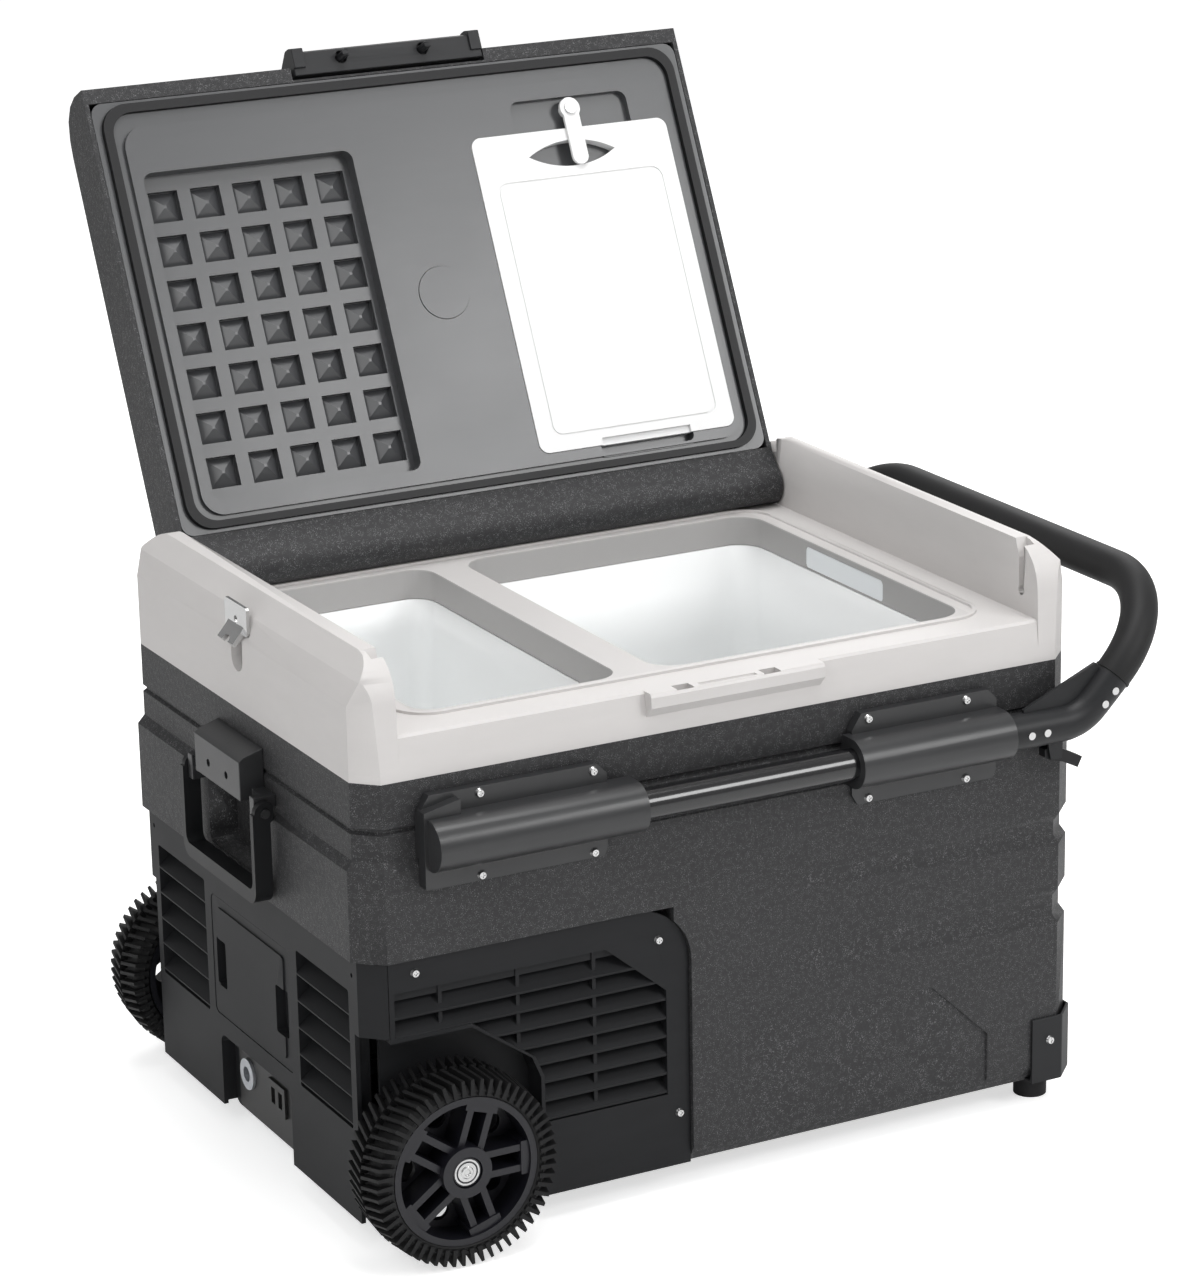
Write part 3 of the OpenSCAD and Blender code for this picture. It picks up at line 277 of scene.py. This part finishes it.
@dataclass(frozen=True)
class Finish:
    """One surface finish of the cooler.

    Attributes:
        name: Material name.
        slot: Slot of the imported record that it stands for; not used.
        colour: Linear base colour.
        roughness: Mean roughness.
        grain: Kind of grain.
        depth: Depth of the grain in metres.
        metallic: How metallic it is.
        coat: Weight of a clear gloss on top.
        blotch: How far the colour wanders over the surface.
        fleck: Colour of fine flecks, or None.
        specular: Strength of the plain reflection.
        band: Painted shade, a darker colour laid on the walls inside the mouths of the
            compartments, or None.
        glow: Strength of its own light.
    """

    name: str
    slot: str
    colour: Colour
    roughness: float
    grain: Grain = Grain.FINE
    depth: float = 0.00005
    metallic: float = 0.0
    coat: float = 0.0
    blotch: float = 0.08
    fleck: Optional[Colour] = None
    specular: float = 0.3
    band: Optional[Colour] = None
    glow: float = 0.0

    def inside_mouth(self, paint: Paint) -> Value:
        """Returns a mask of the walls inside the mouths of the compartments, where shade is
        painted.
        """
        split = paint.node("ShaderNodeSeparateXYZ", {}, {0: paint.place()})
        across, along, up = (Value(paint.tree, split.outputs[name]) for name in ("X", "Y", "Z"))
        deep = 1.0 - up.above(MOUTH_TOP, 0.002)
        near = 1.0 - along.math("ABSOLUTE", along).above(MOUTH_HALF_WIDTH, 0.001)
        return deep * near * (1.0 - across.math("ABSOLUTE", across).above(MOUTH_HALF_LENGTH, 0.001))

    def height(self, paint: Paint) -> Value:
        """Returns the grain's height pattern, from 0 to 1.

        Args:
            paint: Material under construction.

        Returns:
            The height.
        """
        where = paint.place()
        if self.grain is Grain.PEBBLE:
            return paint.cells(where, 620.0) * 0.7 + paint.noise(where, 1500.0, 2.0) * 0.5
        if self.grain is Grain.BRUSHED:
            return paint.noise(paint.place((6.0, 900.0, 900.0)), 1.0, 3.0, 0.6)
        if self.grain is Grain.SMOOTH:
            return paint.noise(where, 90.0, 1.0)
        if self.grain is Grain.FOAM:
            return paint.cells(where, 350.0, "F1") + paint.noise(where, 60.0, 3.0)
        if self.grain is Grain.CAST:
            return paint.noise(where, 380.0, 4.0, 0.65)
        return paint.noise(where, 1100.0, 2.0) + paint.noise(where, 260.0, 1.0) * 0.4

    def base_colour(self, paint: Paint, cloud: Value) -> bpy.types.NodeSocket:
        """Returns the colour over the surface.

        Args:
            paint: Material under construction.
            cloud: Broad, soft noise.

        Returns:
            The colour's socket.
        """
        where = paint.place()
        smear = paint.noise(paint.place((3.0, 3.0, 14.0)), 6.0, 3.0, 0.6)
        mask = ((cloud + smear) / 2.0).above(0.35, 0.3)
        low, high = shade(self.colour, 1 - self.blotch), shade(self.colour, 1 + self.blotch)
        tone = paint.blend(low, high, mask)
        if self.fleck:
            fine = paint.noise(where, 1400.0, 1.0).above(0.57, 0.07)
            patches = paint.noise(where, 260.0, 2.0).above(0.4, 0.2)
            tone = paint.overlay(tone, self.fleck, fine * patches * 0.75)
        # Painted shade: the walls inside the mouths are overlaid with a darker colour that stands
        # in for the shade there.
        if self.band:
            tone = paint.overlay(tone, self.band, self.inside_mouth(paint))
        return tone

    def material(self) -> bpy.types.Material:
        """Returns the node material, made once and then reused."""
        made = bpy.data.materials.get(self.name)
        if made:
            return made
        paint = Paint(self.name)
        cloud = paint.noise(paint.place(), 9.0, 4.0, 0.6)
        paint.colour(self.base_colour(paint, cloud))
        swing = 0.06 + self.roughness * 0.1
        paint.vary("Roughness", (self.roughness - swing / 2 + cloud * swing).clamped())
        paint.fixed(
            metallic=self.metallic, coat_weight=self.coat, coat_roughness=0.08,
            specular_ior_level=self.specular,
        )
        if self.glow:
            paint.fixed(emission_strength=self.glow, emission_color=(*self.colour, 1.0))
        paint.relief(self.height(paint), self.depth)
        return paint.material


class Finishes:
    """Every finish of the cooler by the record's slot."""

    shell = Finish(
        "charcoal_shell", "shell", (0.032, 0.032, 0.0335), 0.52, Grain.PEBBLE, 0.0003, blotch=0.1,
        fleck=(0.2, 0.2, 0.205), specular=0.3,
    )
    # Painted shade: the walls inside the frame's mouths take a darker grey that stands in for
    # shade.
    frame_white = Finish(
        "warm_white_frame", "frame_white", (0.64, 0.62, 0.61), 0.5, Grain.FINE, 0.00004,
        blotch=0.02, band=(0.43, 0.42, 0.415),
    )
    liner_white = Finish(
        "liner_white", "liner_white", (0.86, 0.87, 0.87), 0.33, Grain.SMOOTH, 0.0001, blotch=0.015,
    )
    lamp_cover = Finish(
        "lamp_cover", "lamp_cover", (0.88, 0.91, 0.93), 0.25, Grain.SMOOTH, blotch=0.01, glow=1.2,
    )
    cover = Finish(
        "cover_black", "cover", (0.015, 0.0155, 0.017), 0.5, Grain.FINE, 0.00005, blotch=0.1,
        specular=0.2,
    )
    plate_black = Finish(
        "plate_black", "plate_black", (0.014, 0.014, 0.015), 0.42, Grain.FINE, 0.00003,
    )
    nickel = Finish(
        "nickel", "nickel", (0.58, 0.6, 0.63), 0.28, Grain.SMOOTH, 0.00003, metallic=1.0,
        specular=0.5,
    )
    zinc = Finish(
        "zinc_plate", "zinc", (0.26, 0.29, 0.3), 0.42, Grain.CAST, 0.00004, metallic=1.0,
        specular=0.5, blotch=0.15,
    )
    black_paint = Finish(
        "black_paint", "black_paint", (0.011, 0.011, 0.012), 0.35, Grain.SMOOTH, 0.0001,
    )
    rubber = Finish("foot_rubber", "rubber", (0.02, 0.02, 0.021), 0.75, Grain.FINE, 0.00006)
    condenser_alu = Finish(
        "condenser_fins", "condenser_alu", (0.1, 0.12, 0.13), 0.45, Grain.BRUSHED, 0.00003,
        metallic=1.0, specular=0.5,
    )
    copper = Finish(
        "copper", "copper", (0.48, 0.18, 0.05), 0.3, Grain.SMOOTH, 0.00003, metallic=1.0,
        specular=0.5, blotch=0.15,
    )
    fan_black = Finish("fan_black", "fan_black", (0.03, 0.031, 0.035), 0.4, Grain.FINE, 0.00003)
    circuit_board = Finish(
        "circuit_board", "circuit_board", (0.014, 0.1, 0.04), 0.35, Grain.SMOOTH, 0.00005,
    )
    steel = Finish(
        "bright_steel", "steel", (0.62, 0.62, 0.62), 0.24, Grain.BRUSHED, 0.00001, metallic=1.0,
        specular=0.5,
    )
    guard = Finish("corner_guard_black", "guard", (0.015, 0.0155, 0.017), 0.5, Grain.FINE, 0.00005)
    display_glass = Finish(
        "display_window", "display_glass", (0.006, 0.012, 0.018), 0.08, Grain.SMOOTH, 0.00001,
    )
    button_grey = Finish("button_grey", "button_grey", (0.48, 0.5, 0.52), 0.45, Grain.FINE, 0.00003)
    guide = Finish(
        "guide_black", "guide", (0.024, 0.0245, 0.026), 0.34, Grain.CAST, 0.00006, blotch=0.1,
        specular=0.6,
    )
    bail = Finish("bail_black", "bail", (0.009, 0.0095, 0.0105), 0.42, Grain.FINE, 0.00003)
    foam = Finish("foam", "foam", (0.8, 0.7, 0.42), 0.9, Grain.FOAM, 0.0004)
    lid_grey = Finish(
        "lid_liner_grey", "lid_grey", (0.058, 0.0595, 0.063), 0.3, Grain.SMOOTH, 0.00004,
        blotch=0.04, specular=0.7,
    )
    gasket = Finish("gasket_black", "gasket", (0.012, 0.012, 0.013), 0.45, Grain.FINE, 0.00003)
    # Painted shade: the board's base colour is a grey 0.34, darker than its real white, to offset
    # the bright lamps.
    board_white = Finish(
        "board_white", "board_white", (0.34, 0.34, 0.34), 0.6, Grain.FINE, 0.00004, blotch=0.02,
        specular=0.1,
    )
    latch = Finish("latch_grey", "latch", (0.02, 0.0205, 0.022), 0.42, Grain.FINE, 0.00004)
    tube_black = Finish(
        "tube_gloss_black", "tube_black", (0.004, 0.004, 0.005), 0.2, Grain.SMOOTH, 0.00003,
        coat=0.6, specular=0.5,
    )
    arm_black = Finish(
        "arm_cast_black", "arm_black", (0.017, 0.0175, 0.019), 0.42, Grain.CAST, 0.00006,
        blotch=0.12,
    )
    grip = Finish("grip_rubber", "grip", (0.013, 0.013, 0.0135), 0.55, Grain.FINE, 0.00006)
    lever = Finish("lever_black", "lever", (0.01, 0.01, 0.011), 0.4, Grain.FINE, 0.00003)
    wheel_black = Finish(
        "wheel_black", "wheel_black", (0.005, 0.005, 0.0055), 0.4, Grain.FINE, 0.00004,
    )
    tyre = Finish("tyre_rubber", "tyre", (0.007, 0.007, 0.0075), 0.6, Grain.FINE, 0.00008)

    @classmethod
    def of_slot(cls, slot: str) -> Finish:
        """Returns the finish that stands for a slot of the record."""
        return getattr(cls, slot)


# ------------------------------------------------------------------ pieces

FLAT_ANGLE = math.radians(0.03)  # faces that turn less than this become one
ROUNDED_ANGLE = math.radians(34.0)  # edges that turn more than this are rounded
ROUNDING_STRIPS = 2

NODE_SLOT: dict[str, str] = {
    entry["node"]: entry["material_slot"] for entry in frame["record"]["subparts"]
}
NODE_BODY: dict[str, str] = {
    node: body
    for body, nodes in frame["record"]["behaviour"]["bodies"].items()
    for node in nodes
}


def put_in_scene(
    name: str, mesh: bpy.types.Mesh, body: str, finish: Finish, smooth_angle: float = 32.0
) -> bpy.types.Object:
    """Makes an object of a finished mesh, dresses it and lets it ride.

    Args:
        name: Name of the piece.
        mesh: Its mesh, in place.
        body: Body that it moves with.
        finish: Its finish.
        smooth_angle: Edges sharper than this stay sharp, in degrees.

    Returns:
        The new object.
    """
    mesh.materials.clear()
    mesh.materials.append(finish.material())
    mesh.shade_smooth()
    mesh.set_sharp_from_angle(angle=math.radians(smooth_angle))
    piece = bpy.data.objects.new(name, mesh)
    bpy.context.scene.collection.objects.link(piece)
    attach(piece, body)
    LOG.info("%s: %d faces on %s", name, len(mesh.polygons), body)
    return piece


def merged_copy(node: str) -> bmesh.types.BMesh:
    """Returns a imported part's shape with its loose triangles merged."""
    shape = bmesh.new()
    shape.from_mesh(frame["nodes"][node].data)
    bmesh.ops.remove_doubles(shape, verts=shape.verts, dist=SAME_PLACE)
    bmesh.ops.dissolve_limit(
        shape, angle_limit=FLAT_ANGLE, use_dissolve_boundaries=False, verts=shape.verts,
        edges=shape.edges, delimit=set(),
    )
    return shape


def has_room(edge: bmesh.types.BMEdge, radius: float) -> bool:
    """Says whether the faces beside an edge are wide enough to round it.

    Args:
        edge: The sharp edge.
        radius: Width of the rounding in metres.

    Returns:
        True when the rounding fits on both sides and at both ends.
    """
    start, end = (vert.co for vert in edge.verts)
    along = (end - start).normalized()
    room = 2.4 * radius
    if (end - start).length < room:
        return False
    for face in edge.link_faces:
        arms = (vert.co - start for vert in face.verts)
        if max((arm - along * arm.dot(along)).length for arm in arms) < room:
            return False
    neighbours = [other for vert in edge.verts for other in vert.link_edges if other is not edge]
    return all(other.calc_length() > 1.3 * radius for other in neighbours)


def turned(
    profile: Sequence[tuple[float, float]], centre: Vector, side: float, steps: int = 40
) -> bmesh.types.BMesh:
    """Turns a profile round an axis along Y.

    Args:
        profile: Points as (radius, distance outwards) in metres, from the middle to the rim.
        centre: Point on the axis that distances start from.
        side: -1 when outwards is -Y, 1 when it is +Y.
        steps: Facets round the axis.

    Returns:
        The turned shape, with its faces looking out.
    """
    shape = bmesh.new()
    points = [
        shape.verts.new((centre.x + radius, centre.y + side * out, centre.z))
        for radius, out in profile
    ]
    for first, second in zip(points, points[1:]):
        shape.edges.new((first, second))
    bmesh.ops.spin(
        shape, geom=shape.verts[:] + shape.edges[:], cent=centre, axis=(0, 1, 0),
        angle=2 * math.pi, steps=steps, use_merge=True,
    )
    bmesh.ops.remove_doubles(shape, verts=shape.verts, dist=SAME_PLACE)
    bmesh.ops.recalc_face_normals(shape, faces=shape.faces)
    return shape


def finished_mesh(shape: bmesh.types.BMesh, name: str) -> bpy.types.Mesh:
    """Turns a finished shape into a mesh and frees it."""
    mesh = bpy.data.meshes.new(name)
    shape.to_mesh(mesh)
    shape.free()
    return mesh


def rounded(node: str, radius: float) -> bpy.types.Object:
    """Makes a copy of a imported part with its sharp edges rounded, which replaces it.

    Args:
        node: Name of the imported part.
        radius: Width of the rounding in metres.

    Returns:
        The rounded piece.
    """
    shape = merged_copy(node)
    inner = [edge for edge in shape.edges if len(edge.link_faces) == 2]
    sharp = [edge for edge in inner if edge.calc_face_angle(0.0) > ROUNDED_ANGLE]
    roomy = [edge for edge in sharp if has_room(edge, radius)]
    bmesh.ops.bevel(
        shape, geom=roomy, offset=radius, offset_type="OFFSET", segments=ROUNDING_STRIPS,
        profile=0.5, affect="EDGES", clamp_overlap=True, material=-1, loop_slide=True,
    )
    name = node + "_rounded"
    finish = Finishes.of_slot(NODE_SLOT[node])
    piece = put_in_scene(name, finished_mesh(shape, name), NODE_BODY[node], finish)
    even = piece.modifiers.new("even_shading", "WEIGHTED_NORMAL")
    even.weight = 90
    even.keep_sharp = True
    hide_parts(node)
    return piece


def dress(node: str) -> None:
    """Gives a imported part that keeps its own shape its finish."""
    part = frame["nodes"][node]
    part.data.materials.clear()
    part.data.materials.append(Finishes.of_slot(NODE_SLOT[node]).material())
    LOG.info("%s: dressed", node)


@dataclass
class RoundedParts:
    """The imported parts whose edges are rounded.

    Attributes:
        radii: Rounding of each part in metres.
    """

    radii: dict[str, float]

    def build(self) -> None:
        """Makes every rounded part."""
        for node, radius in self.radii.items():
            rounded(node, radius)


def rounded_plate(low: Vector, high: Vector, corner: float, segments: int = 8) -> bmesh.types.BMesh:
    """Starts a shape from one flat face with round corners.

    Args:
        low: Lowest corner; its height is the face's height.
        high: Highest corner.
        corner: Radius of the corners in metres.
        segments: Facets on each corner.

    Returns:
        The shape, with its face looking up.
    """
    shape = bmesh.new()
    bmesh.ops.create_grid(shape, x_segments=1, y_segments=1, size=0.5)
    bmesh.ops.scale(shape, verts=shape.verts, vec=(high.x - low.x, high.y - low.y, 1.0))
    middle = (low + high) / 2
    bmesh.ops.translate(shape, verts=shape.verts, vec=(middle.x, middle.y, low.z))
    bmesh.ops.bevel(
        shape, geom=shape.verts[:], offset=corner, offset_type="OFFSET", segments=segments,
        profile=0.5, affect="VERTICES", material=-1,
    )
    return shape


@dataclass
class Basin:
    """Moulded white liner of one cold compartment.

    Attributes:
        node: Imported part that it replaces.
        corner: Radius of its upright corners.
        flange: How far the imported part's rim stands out past the inner wall.
        draft: How far the walls lean in from top to bottom.
        foot: Radius where the walls meet the floor.
        wall: Thickness of the moulding.
        wall_steps: Rings down the walls.
        foot_steps: Facets of the radius at the foot.
    """

    node: str
    corner: float
    flange: float = 0.0068
    draft: float = 0.004
    foot: float = 0.014
    wall: float = 0.0024
    wall_steps: int = 4
    foot_steps: int = 6

    def sink(
        self, shape: bmesh.types.BMesh, floor: list[bmesh.types.BMFace], inward: float, down: float
    ) -> None:
        """Draws the floor in and down by one step, in metres."""
        bmesh.ops.inset_region(
            shape, faces=floor, thickness=inward, depth=-down, use_even_offset=True,
            use_boundary=True,
        )

    def build(self) -> bpy.types.Object:
        """Makes the basin from its rim down to its floor.

        Returns:
            The basin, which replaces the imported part.
        """
        low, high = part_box(self.node)
        rim_low = Vector((low.x + self.flange, low.y + self.flange, high.z))
        rim_high = Vector((high.x - self.flange, high.y - self.flange, high.z))
        shape = rounded_plate(rim_low, rim_high, self.corner)
        floor = shape.faces[:]
        drop = high.z - low.z - self.wall - self.foot
        for _ in range(self.wall_steps):
            self.sink(shape, floor, self.draft / self.wall_steps, drop / self.wall_steps)
        for step in range(self.foot_steps):
            turn, after = (math.pi / 2 * k / self.foot_steps for k in (step, step + 1))
            inward = self.foot * (math.cos(turn) - math.cos(after))
            self.sink(shape, floor, inward, self.foot * (math.sin(after) - math.sin(turn)))
        name = self.node + "_basin"
        finish = Finishes.of_slot(NODE_SLOT[self.node])
        piece = put_in_scene(name, finished_mesh(shape, name), NODE_BODY[self.node], finish, 40.0)
        shell = piece.modifiers.new("wall", "SOLIDIFY")
        shell.thickness = self.wall
        shell.offset = -1.0
        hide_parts(self.node)
        return piece


@dataclass
class Tyre:
    """Solid rubber tyre with two rows of slanted lugs.

    Attributes:
        end: Which wheel it is on, "front" or "rear".
        lugs: Lugs in each row.
        tread: Height of the lugs over the carcass.
        slant: Slant of the lugs across the tread, in degrees.
        bore: Radius of its seat on the rim.
        lug_width: Width of a lug along the tread.
        root: How far a lug reaches into the carcass.
    """

    end: str
    lugs: int = 58
    tread: float = 0.0062
    slant: float = 24.0
    bore: float = 0.0573
    lug_width: float = 0.0036
    root: float = 0.003

    def carcass(self, centre: Vector, radius: float, half: float) -> bmesh.types.BMesh:
        """Makes the smooth body of the tyre.

        Args:
            centre: Middle of the wheel.
            radius: Outer radius of the body.
            half: Half of its width.

        Returns:
            The closed ring.
        """
        bead = self.bore
        sidewall = (
            (bead, 0.0035), (bead + 0.0012, 0.0022), (bead + 0.0042, 0.0022),
            (bead + 0.0052, 0.001), (radius - 0.006, 0.0012), (radius - 0.0022, 0.004),
            (radius, 0.009),
        )
        profile = [
            (bead, 0.0), *((reach, -half + inset) for reach, inset in sidewall),
            (radius, 0.0), *((reach, half - inset) for reach, inset in reversed(sidewall)),
            (bead, 0.0),
        ]
        return turned(profile, centre, 1.0, 96)

    def lug(
        self, shape: bmesh.types.BMesh, side: float, reach: float, half: float
    ) -> list[bmesh.types.BMVert]:
        """Adds one lug at the top of the wheel.

        Args:
            shape: Shape that takes the lug.
            side: -1 or 1, the row.
            reach: Radius of the lug's top.
            half: Half of the tyre's width.

        Returns:
            The lug's vertices.
        """
        made = bmesh.ops.create_cube(shape, size=1.0)["verts"]
        tall = self.tread + self.root
        bmesh.ops.scale(shape, verts=made, vec=(self.lug_width, half - 0.0006, tall))
        middle = Vector((0.0, side * (half / 2 + 0.0003), reach - tall / 2))
        bmesh.ops.translate(shape, verts=made, vec=middle)
        for vert in made:
            at_shoulder = abs(vert.co.y) / half > 0.7
            lean = math.tan(math.radians(self.slant)) * abs(vert.co.y) * 0.5
            vert.co.x += lean
            if vert.co.z > reach - 0.001:
                vert.co.x -= (vert.co.x - lean) * 0.3
                vert.co.z -= 0.0024 if at_shoulder else 0.0
            elif at_shoulder:
                vert.co.z -= 0.006
        return made

    def build(self) -> None:
        """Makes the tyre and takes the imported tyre's place."""
        node = self.end + "_tyre"
        low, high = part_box(node)
        centre = (low + high) / 2
        reach, half = (high.z - low.z) / 2, (high.y - low.y) / 2
        shape = self.carcass(centre, reach - self.tread, half)
        pitch = 2 * math.pi / self.lugs
        for index in range(self.lugs):
            for side, shift in ((-1.0, 0.0), (1.0, 0.5)):
                made = self.lug(shape, side, reach, half)
                turn = Matrix.Rotation((index + shift) * pitch, 4, "Y")
                bmesh.ops.transform(shape, matrix=Matrix.Translation(centre) @ turn, verts=made)
        name = node + "_lugged"
        mesh = finished_mesh(shape, name)
        piece = put_in_scene(name, mesh, "wheel_" + self.end, Finishes.tyre, 30.0)
        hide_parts(node)


@dataclass
class HubScrews:
    """Cap and bright screw in the middle of each wheel.

    Attributes:
        depth: How far the cap sits inside the wheel's outer face.
        cap: Profile of the cap, as (radius, distance outwards).
        screw: Profile of the screw's head.
    """

    depth: float = 0.0016
    cap: tuple[tuple[float, float], ...] = (
        (0.0, 0.0), (0.0068, 0.0), (0.0074, 0.0007), (0.011, 0.0004), (0.0117, -0.0004),
        (0.0117, -0.0012), (0.0, -0.0012),
    )
    screw: tuple[tuple[float, float], ...] = (
        (0.0, 0.0003), (0.0021, 0.0003), (0.0023, 0.0013), (0.0027, 0.0017), (0.0042, 0.0015),
        (0.0049, 0.0009), (0.0049, 0.0001), (0.0, 0.0001),
    )

    def build(self) -> None:
        """Makes the cap and the screw of both wheels."""
        for end, side in (("front", -1.0), ("rear", 1.0)):
            low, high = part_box(end + "_wheel")
            centre = (low + high) / 2
            centre.y = (low.y if side < 0 else high.y) - side * self.depth
            for part, profile, finish in (
                ("_hub_cap", self.cap, Finishes.wheel_black),
                ("_hub_screw", self.screw, Finishes.steel),
            ):
                name = end + part
                mesh = finished_mesh(turned(profile, centre, side), name)
                put_in_scene(name, mesh, "wheel_" + end, finish, 30.0)


@dataclass(frozen=True)
class Lamp:
    """One soft square lamp.

    Attributes:
        name: Name of the lamp.
        place: Where it stands.
        size: Width of its panel.
        power: Power in watts.
    """

    name: str
    place: tuple[float, float, float]
    size: float
    power: float


@dataclass
class Studio:
    """Floor, lights and camera.

    Attributes:
        eye: Place of the camera.
        turn: Turn of the camera round +Z, in degrees.
        tilt: Height of the camera above the horizon, in degrees.
        roll: Roll of the camera, in degrees.
        lens: Focal length in millimetres.
        shift: Sideways and upward shift of the view.
        lift: Glow of the floor as it is seen.
        bounce: Glow of the floor on the cooler.
        floor_radius: Radius of the floor.
        backdrop: Brightness of the background as it is seen.
        ambient: Brightness of the light from all round.
        lean: How much brighter it is towards +X, and darker towards -X.
        aim: Point that the lamps face.
        lamps: The lamps.
    """

    eye: tuple[float, float, float] = (-1.4545, -2.7698, 1.3183)
    turn: float = 27.05
    tilt: float = 17.56
    roll: float = -1.30
    lens: float = 119.35
    shift: tuple[float, float] = (0.0392, 0.0192)
    lift: float = 0.62
    bounce: float = 0.14
    floor_radius: float = 14.0
    backdrop: float = 1.0
    ambient: float = 0.42
    lean: float = 0.24
    aim: tuple[float, float, float] = (0.0, 0.0, 0.35)
    lamps: tuple[Lamp, ...] = (
        Lamp("key_lamp", (1.9, -3.0, 2.5), 1.3, 45.0),
        Lamp("top_lamp", (0.2, -0.3, 3.2), 1.6, 48.0),
        Lamp("left_lamp", (-2.6, -1.6, 2.6), 1.8, 34.0),
        Lamp("rear_lamp", (2.2, 2.6, 2.4), 1.8, 30.0),
    )

    def camera(self) -> None:
        """Makes the camera and looks through it."""
        turn, tilt, roll = (math.radians(v) for v in (self.turn, self.tilt, self.roll))
        side = Vector((math.cos(turn), -math.sin(turn), 0.0))
        level = math.cos(tilt)
        back = Vector((-math.sin(turn) * level, -math.cos(turn) * level, math.sin(tilt)))
        up = back.cross(side)
        right = side * math.cos(roll) + up * math.sin(roll)
        top = up * math.cos(roll) - side * math.sin(roll)
        data = bpy.data.cameras.new("camera")
        data.lens = self.lens
        data.sensor_width = 36.0
        data.shift_x, data.shift_y = self.shift
        data.clip_start, data.clip_end = 0.05, 60.0
        camera = bpy.data.objects.new("camera", data)
        facing = Matrix((right, top, back)).transposed().to_4x4()
        camera.matrix_world = Matrix.Translation(Vector(self.eye)) @ facing
        bpy.context.scene.collection.objects.link(camera)
        bpy.context.scene.camera = camera

    def floor(self) -> None:
        """Makes the plain pale floor."""
        shape = bmesh.new()
        bmesh.ops.create_circle(shape, cap_ends=True, segments=96, radius=self.floor_radius)
        bmesh.ops.translate(shape, verts=shape.verts, vec=(0.0, 0.0, CAD_BOX[0].z))
        mesh = finished_mesh(shape, "floor")
        floor = bpy.data.objects.new("floor", mesh)
        bpy.context.scene.collection.objects.link(floor)
        paint = Paint("pale_floor")
        paint.fixed(base_color=(0.86, 0.86, 0.86, 1.0), roughness=0.7, emission_strength=1.0)
        path = paint.node("ShaderNodeLightPath", {}, {})
        seen = Value(paint.tree, path.outputs["Is Camera Ray"])
        glow = paint.blend((self.bounce,) * 3, (self.lift,) * 3, seen)
        paint.tree.links.new(glow, paint.shader.inputs["Emission Color"])
        mesh.materials.append(paint.material)

    def place_lamp(self, lamp: Lamp) -> None:
        """Makes one lamp, facing the cooler."""
        data = bpy.data.lights.new(lamp.name, "AREA")
        data.size = lamp.size
        data.energy = lamp.power
        light = bpy.data.objects.new(lamp.name, data)
        light.location = lamp.place
        ahead = Vector(self.aim) - Vector(lamp.place)
        light.rotation_euler = ahead.to_track_quat("-Z", "Y").to_euler()
        bpy.context.scene.collection.objects.link(light)

    def surroundings(self) -> None:
        """Makes the plain white background and the light from all round."""
        world = bpy.data.worlds.new("studio")
        bpy.context.scene.world = world
        world.use_nodes = True
        tree = world.node_tree
        background = tree.nodes["Background"]
        background.inputs["Color"].default_value = (1.0, 1.0, 1.0, 1.0)
        seen = Value(tree, tree.nodes.new("ShaderNodeLightPath").outputs["Is Camera Ray"])
        where = tree.nodes.new("ShaderNodeTexCoord")
        split = tree.nodes.new("ShaderNodeSeparateXYZ")
        tree.links.new(where.outputs["Generated"], split.inputs[0])
        soft = Value(tree, split.outputs["X"]) * self.lean + self.ambient
        strength = seen * self.backdrop + (1.0 - seen) * soft
        tree.links.new(strength.socket, background.inputs["Strength"])

    def build(self) -> None:
        """Makes the whole studio."""
        self.floor()
        for lamp in self.lamps:
            self.place_lamp(lamp)
        self.surroundings()
        bpy.context.scene.view_settings.view_transform = "Standard"
        self.camera()


def main() -> None:
    """Builds the cooler and its studio in order."""
    logging.basicConfig(level=logging.INFO, format="%(message)s", stream=sys.stdout)
    Studio().build()
    parts = RoundedParts(
        {
            "body_shell": 0.001, "top_frame": 0.0012, "front_cover": 0.0006,
            "rear_cover": 0.0006, "end_cover": 0.0006, "corner_guards": 0.001,
            "handle_guide_fl": 0.001, "handle_guide_fr": 0.001, "handle_guide_bl": 0.001,
            "handle_guide_br": 0.001, "carry_bracket": 0.0009, "carry_handle": 0.001,
            "lid_shell": 0.0014, "lid_latch": 0.0007, "cutting_board": 0.0008,
            "board_clip": 0.0006, "battery_door": 0.0006, "bottle_opener": 0.0003,
            "control_panel": 0.0005,
        }
    )
    parts.build()
    basins = (Basin("small_tub", 0.0185), Basin("large_tub", 0.0225))
    for basin in basins:
        basin.build()
    HubScrews().build()
    for end in ("front", "rear"):
        Tyre(end).build()
    replaced = {"front_tyre", "rear_tyre", *parts.radii, *(basin.node for basin in basins)}
    for node in frame["nodes"]:
        if node not in replaced:
            dress(node)


if __name__ == "__main__":
    main()
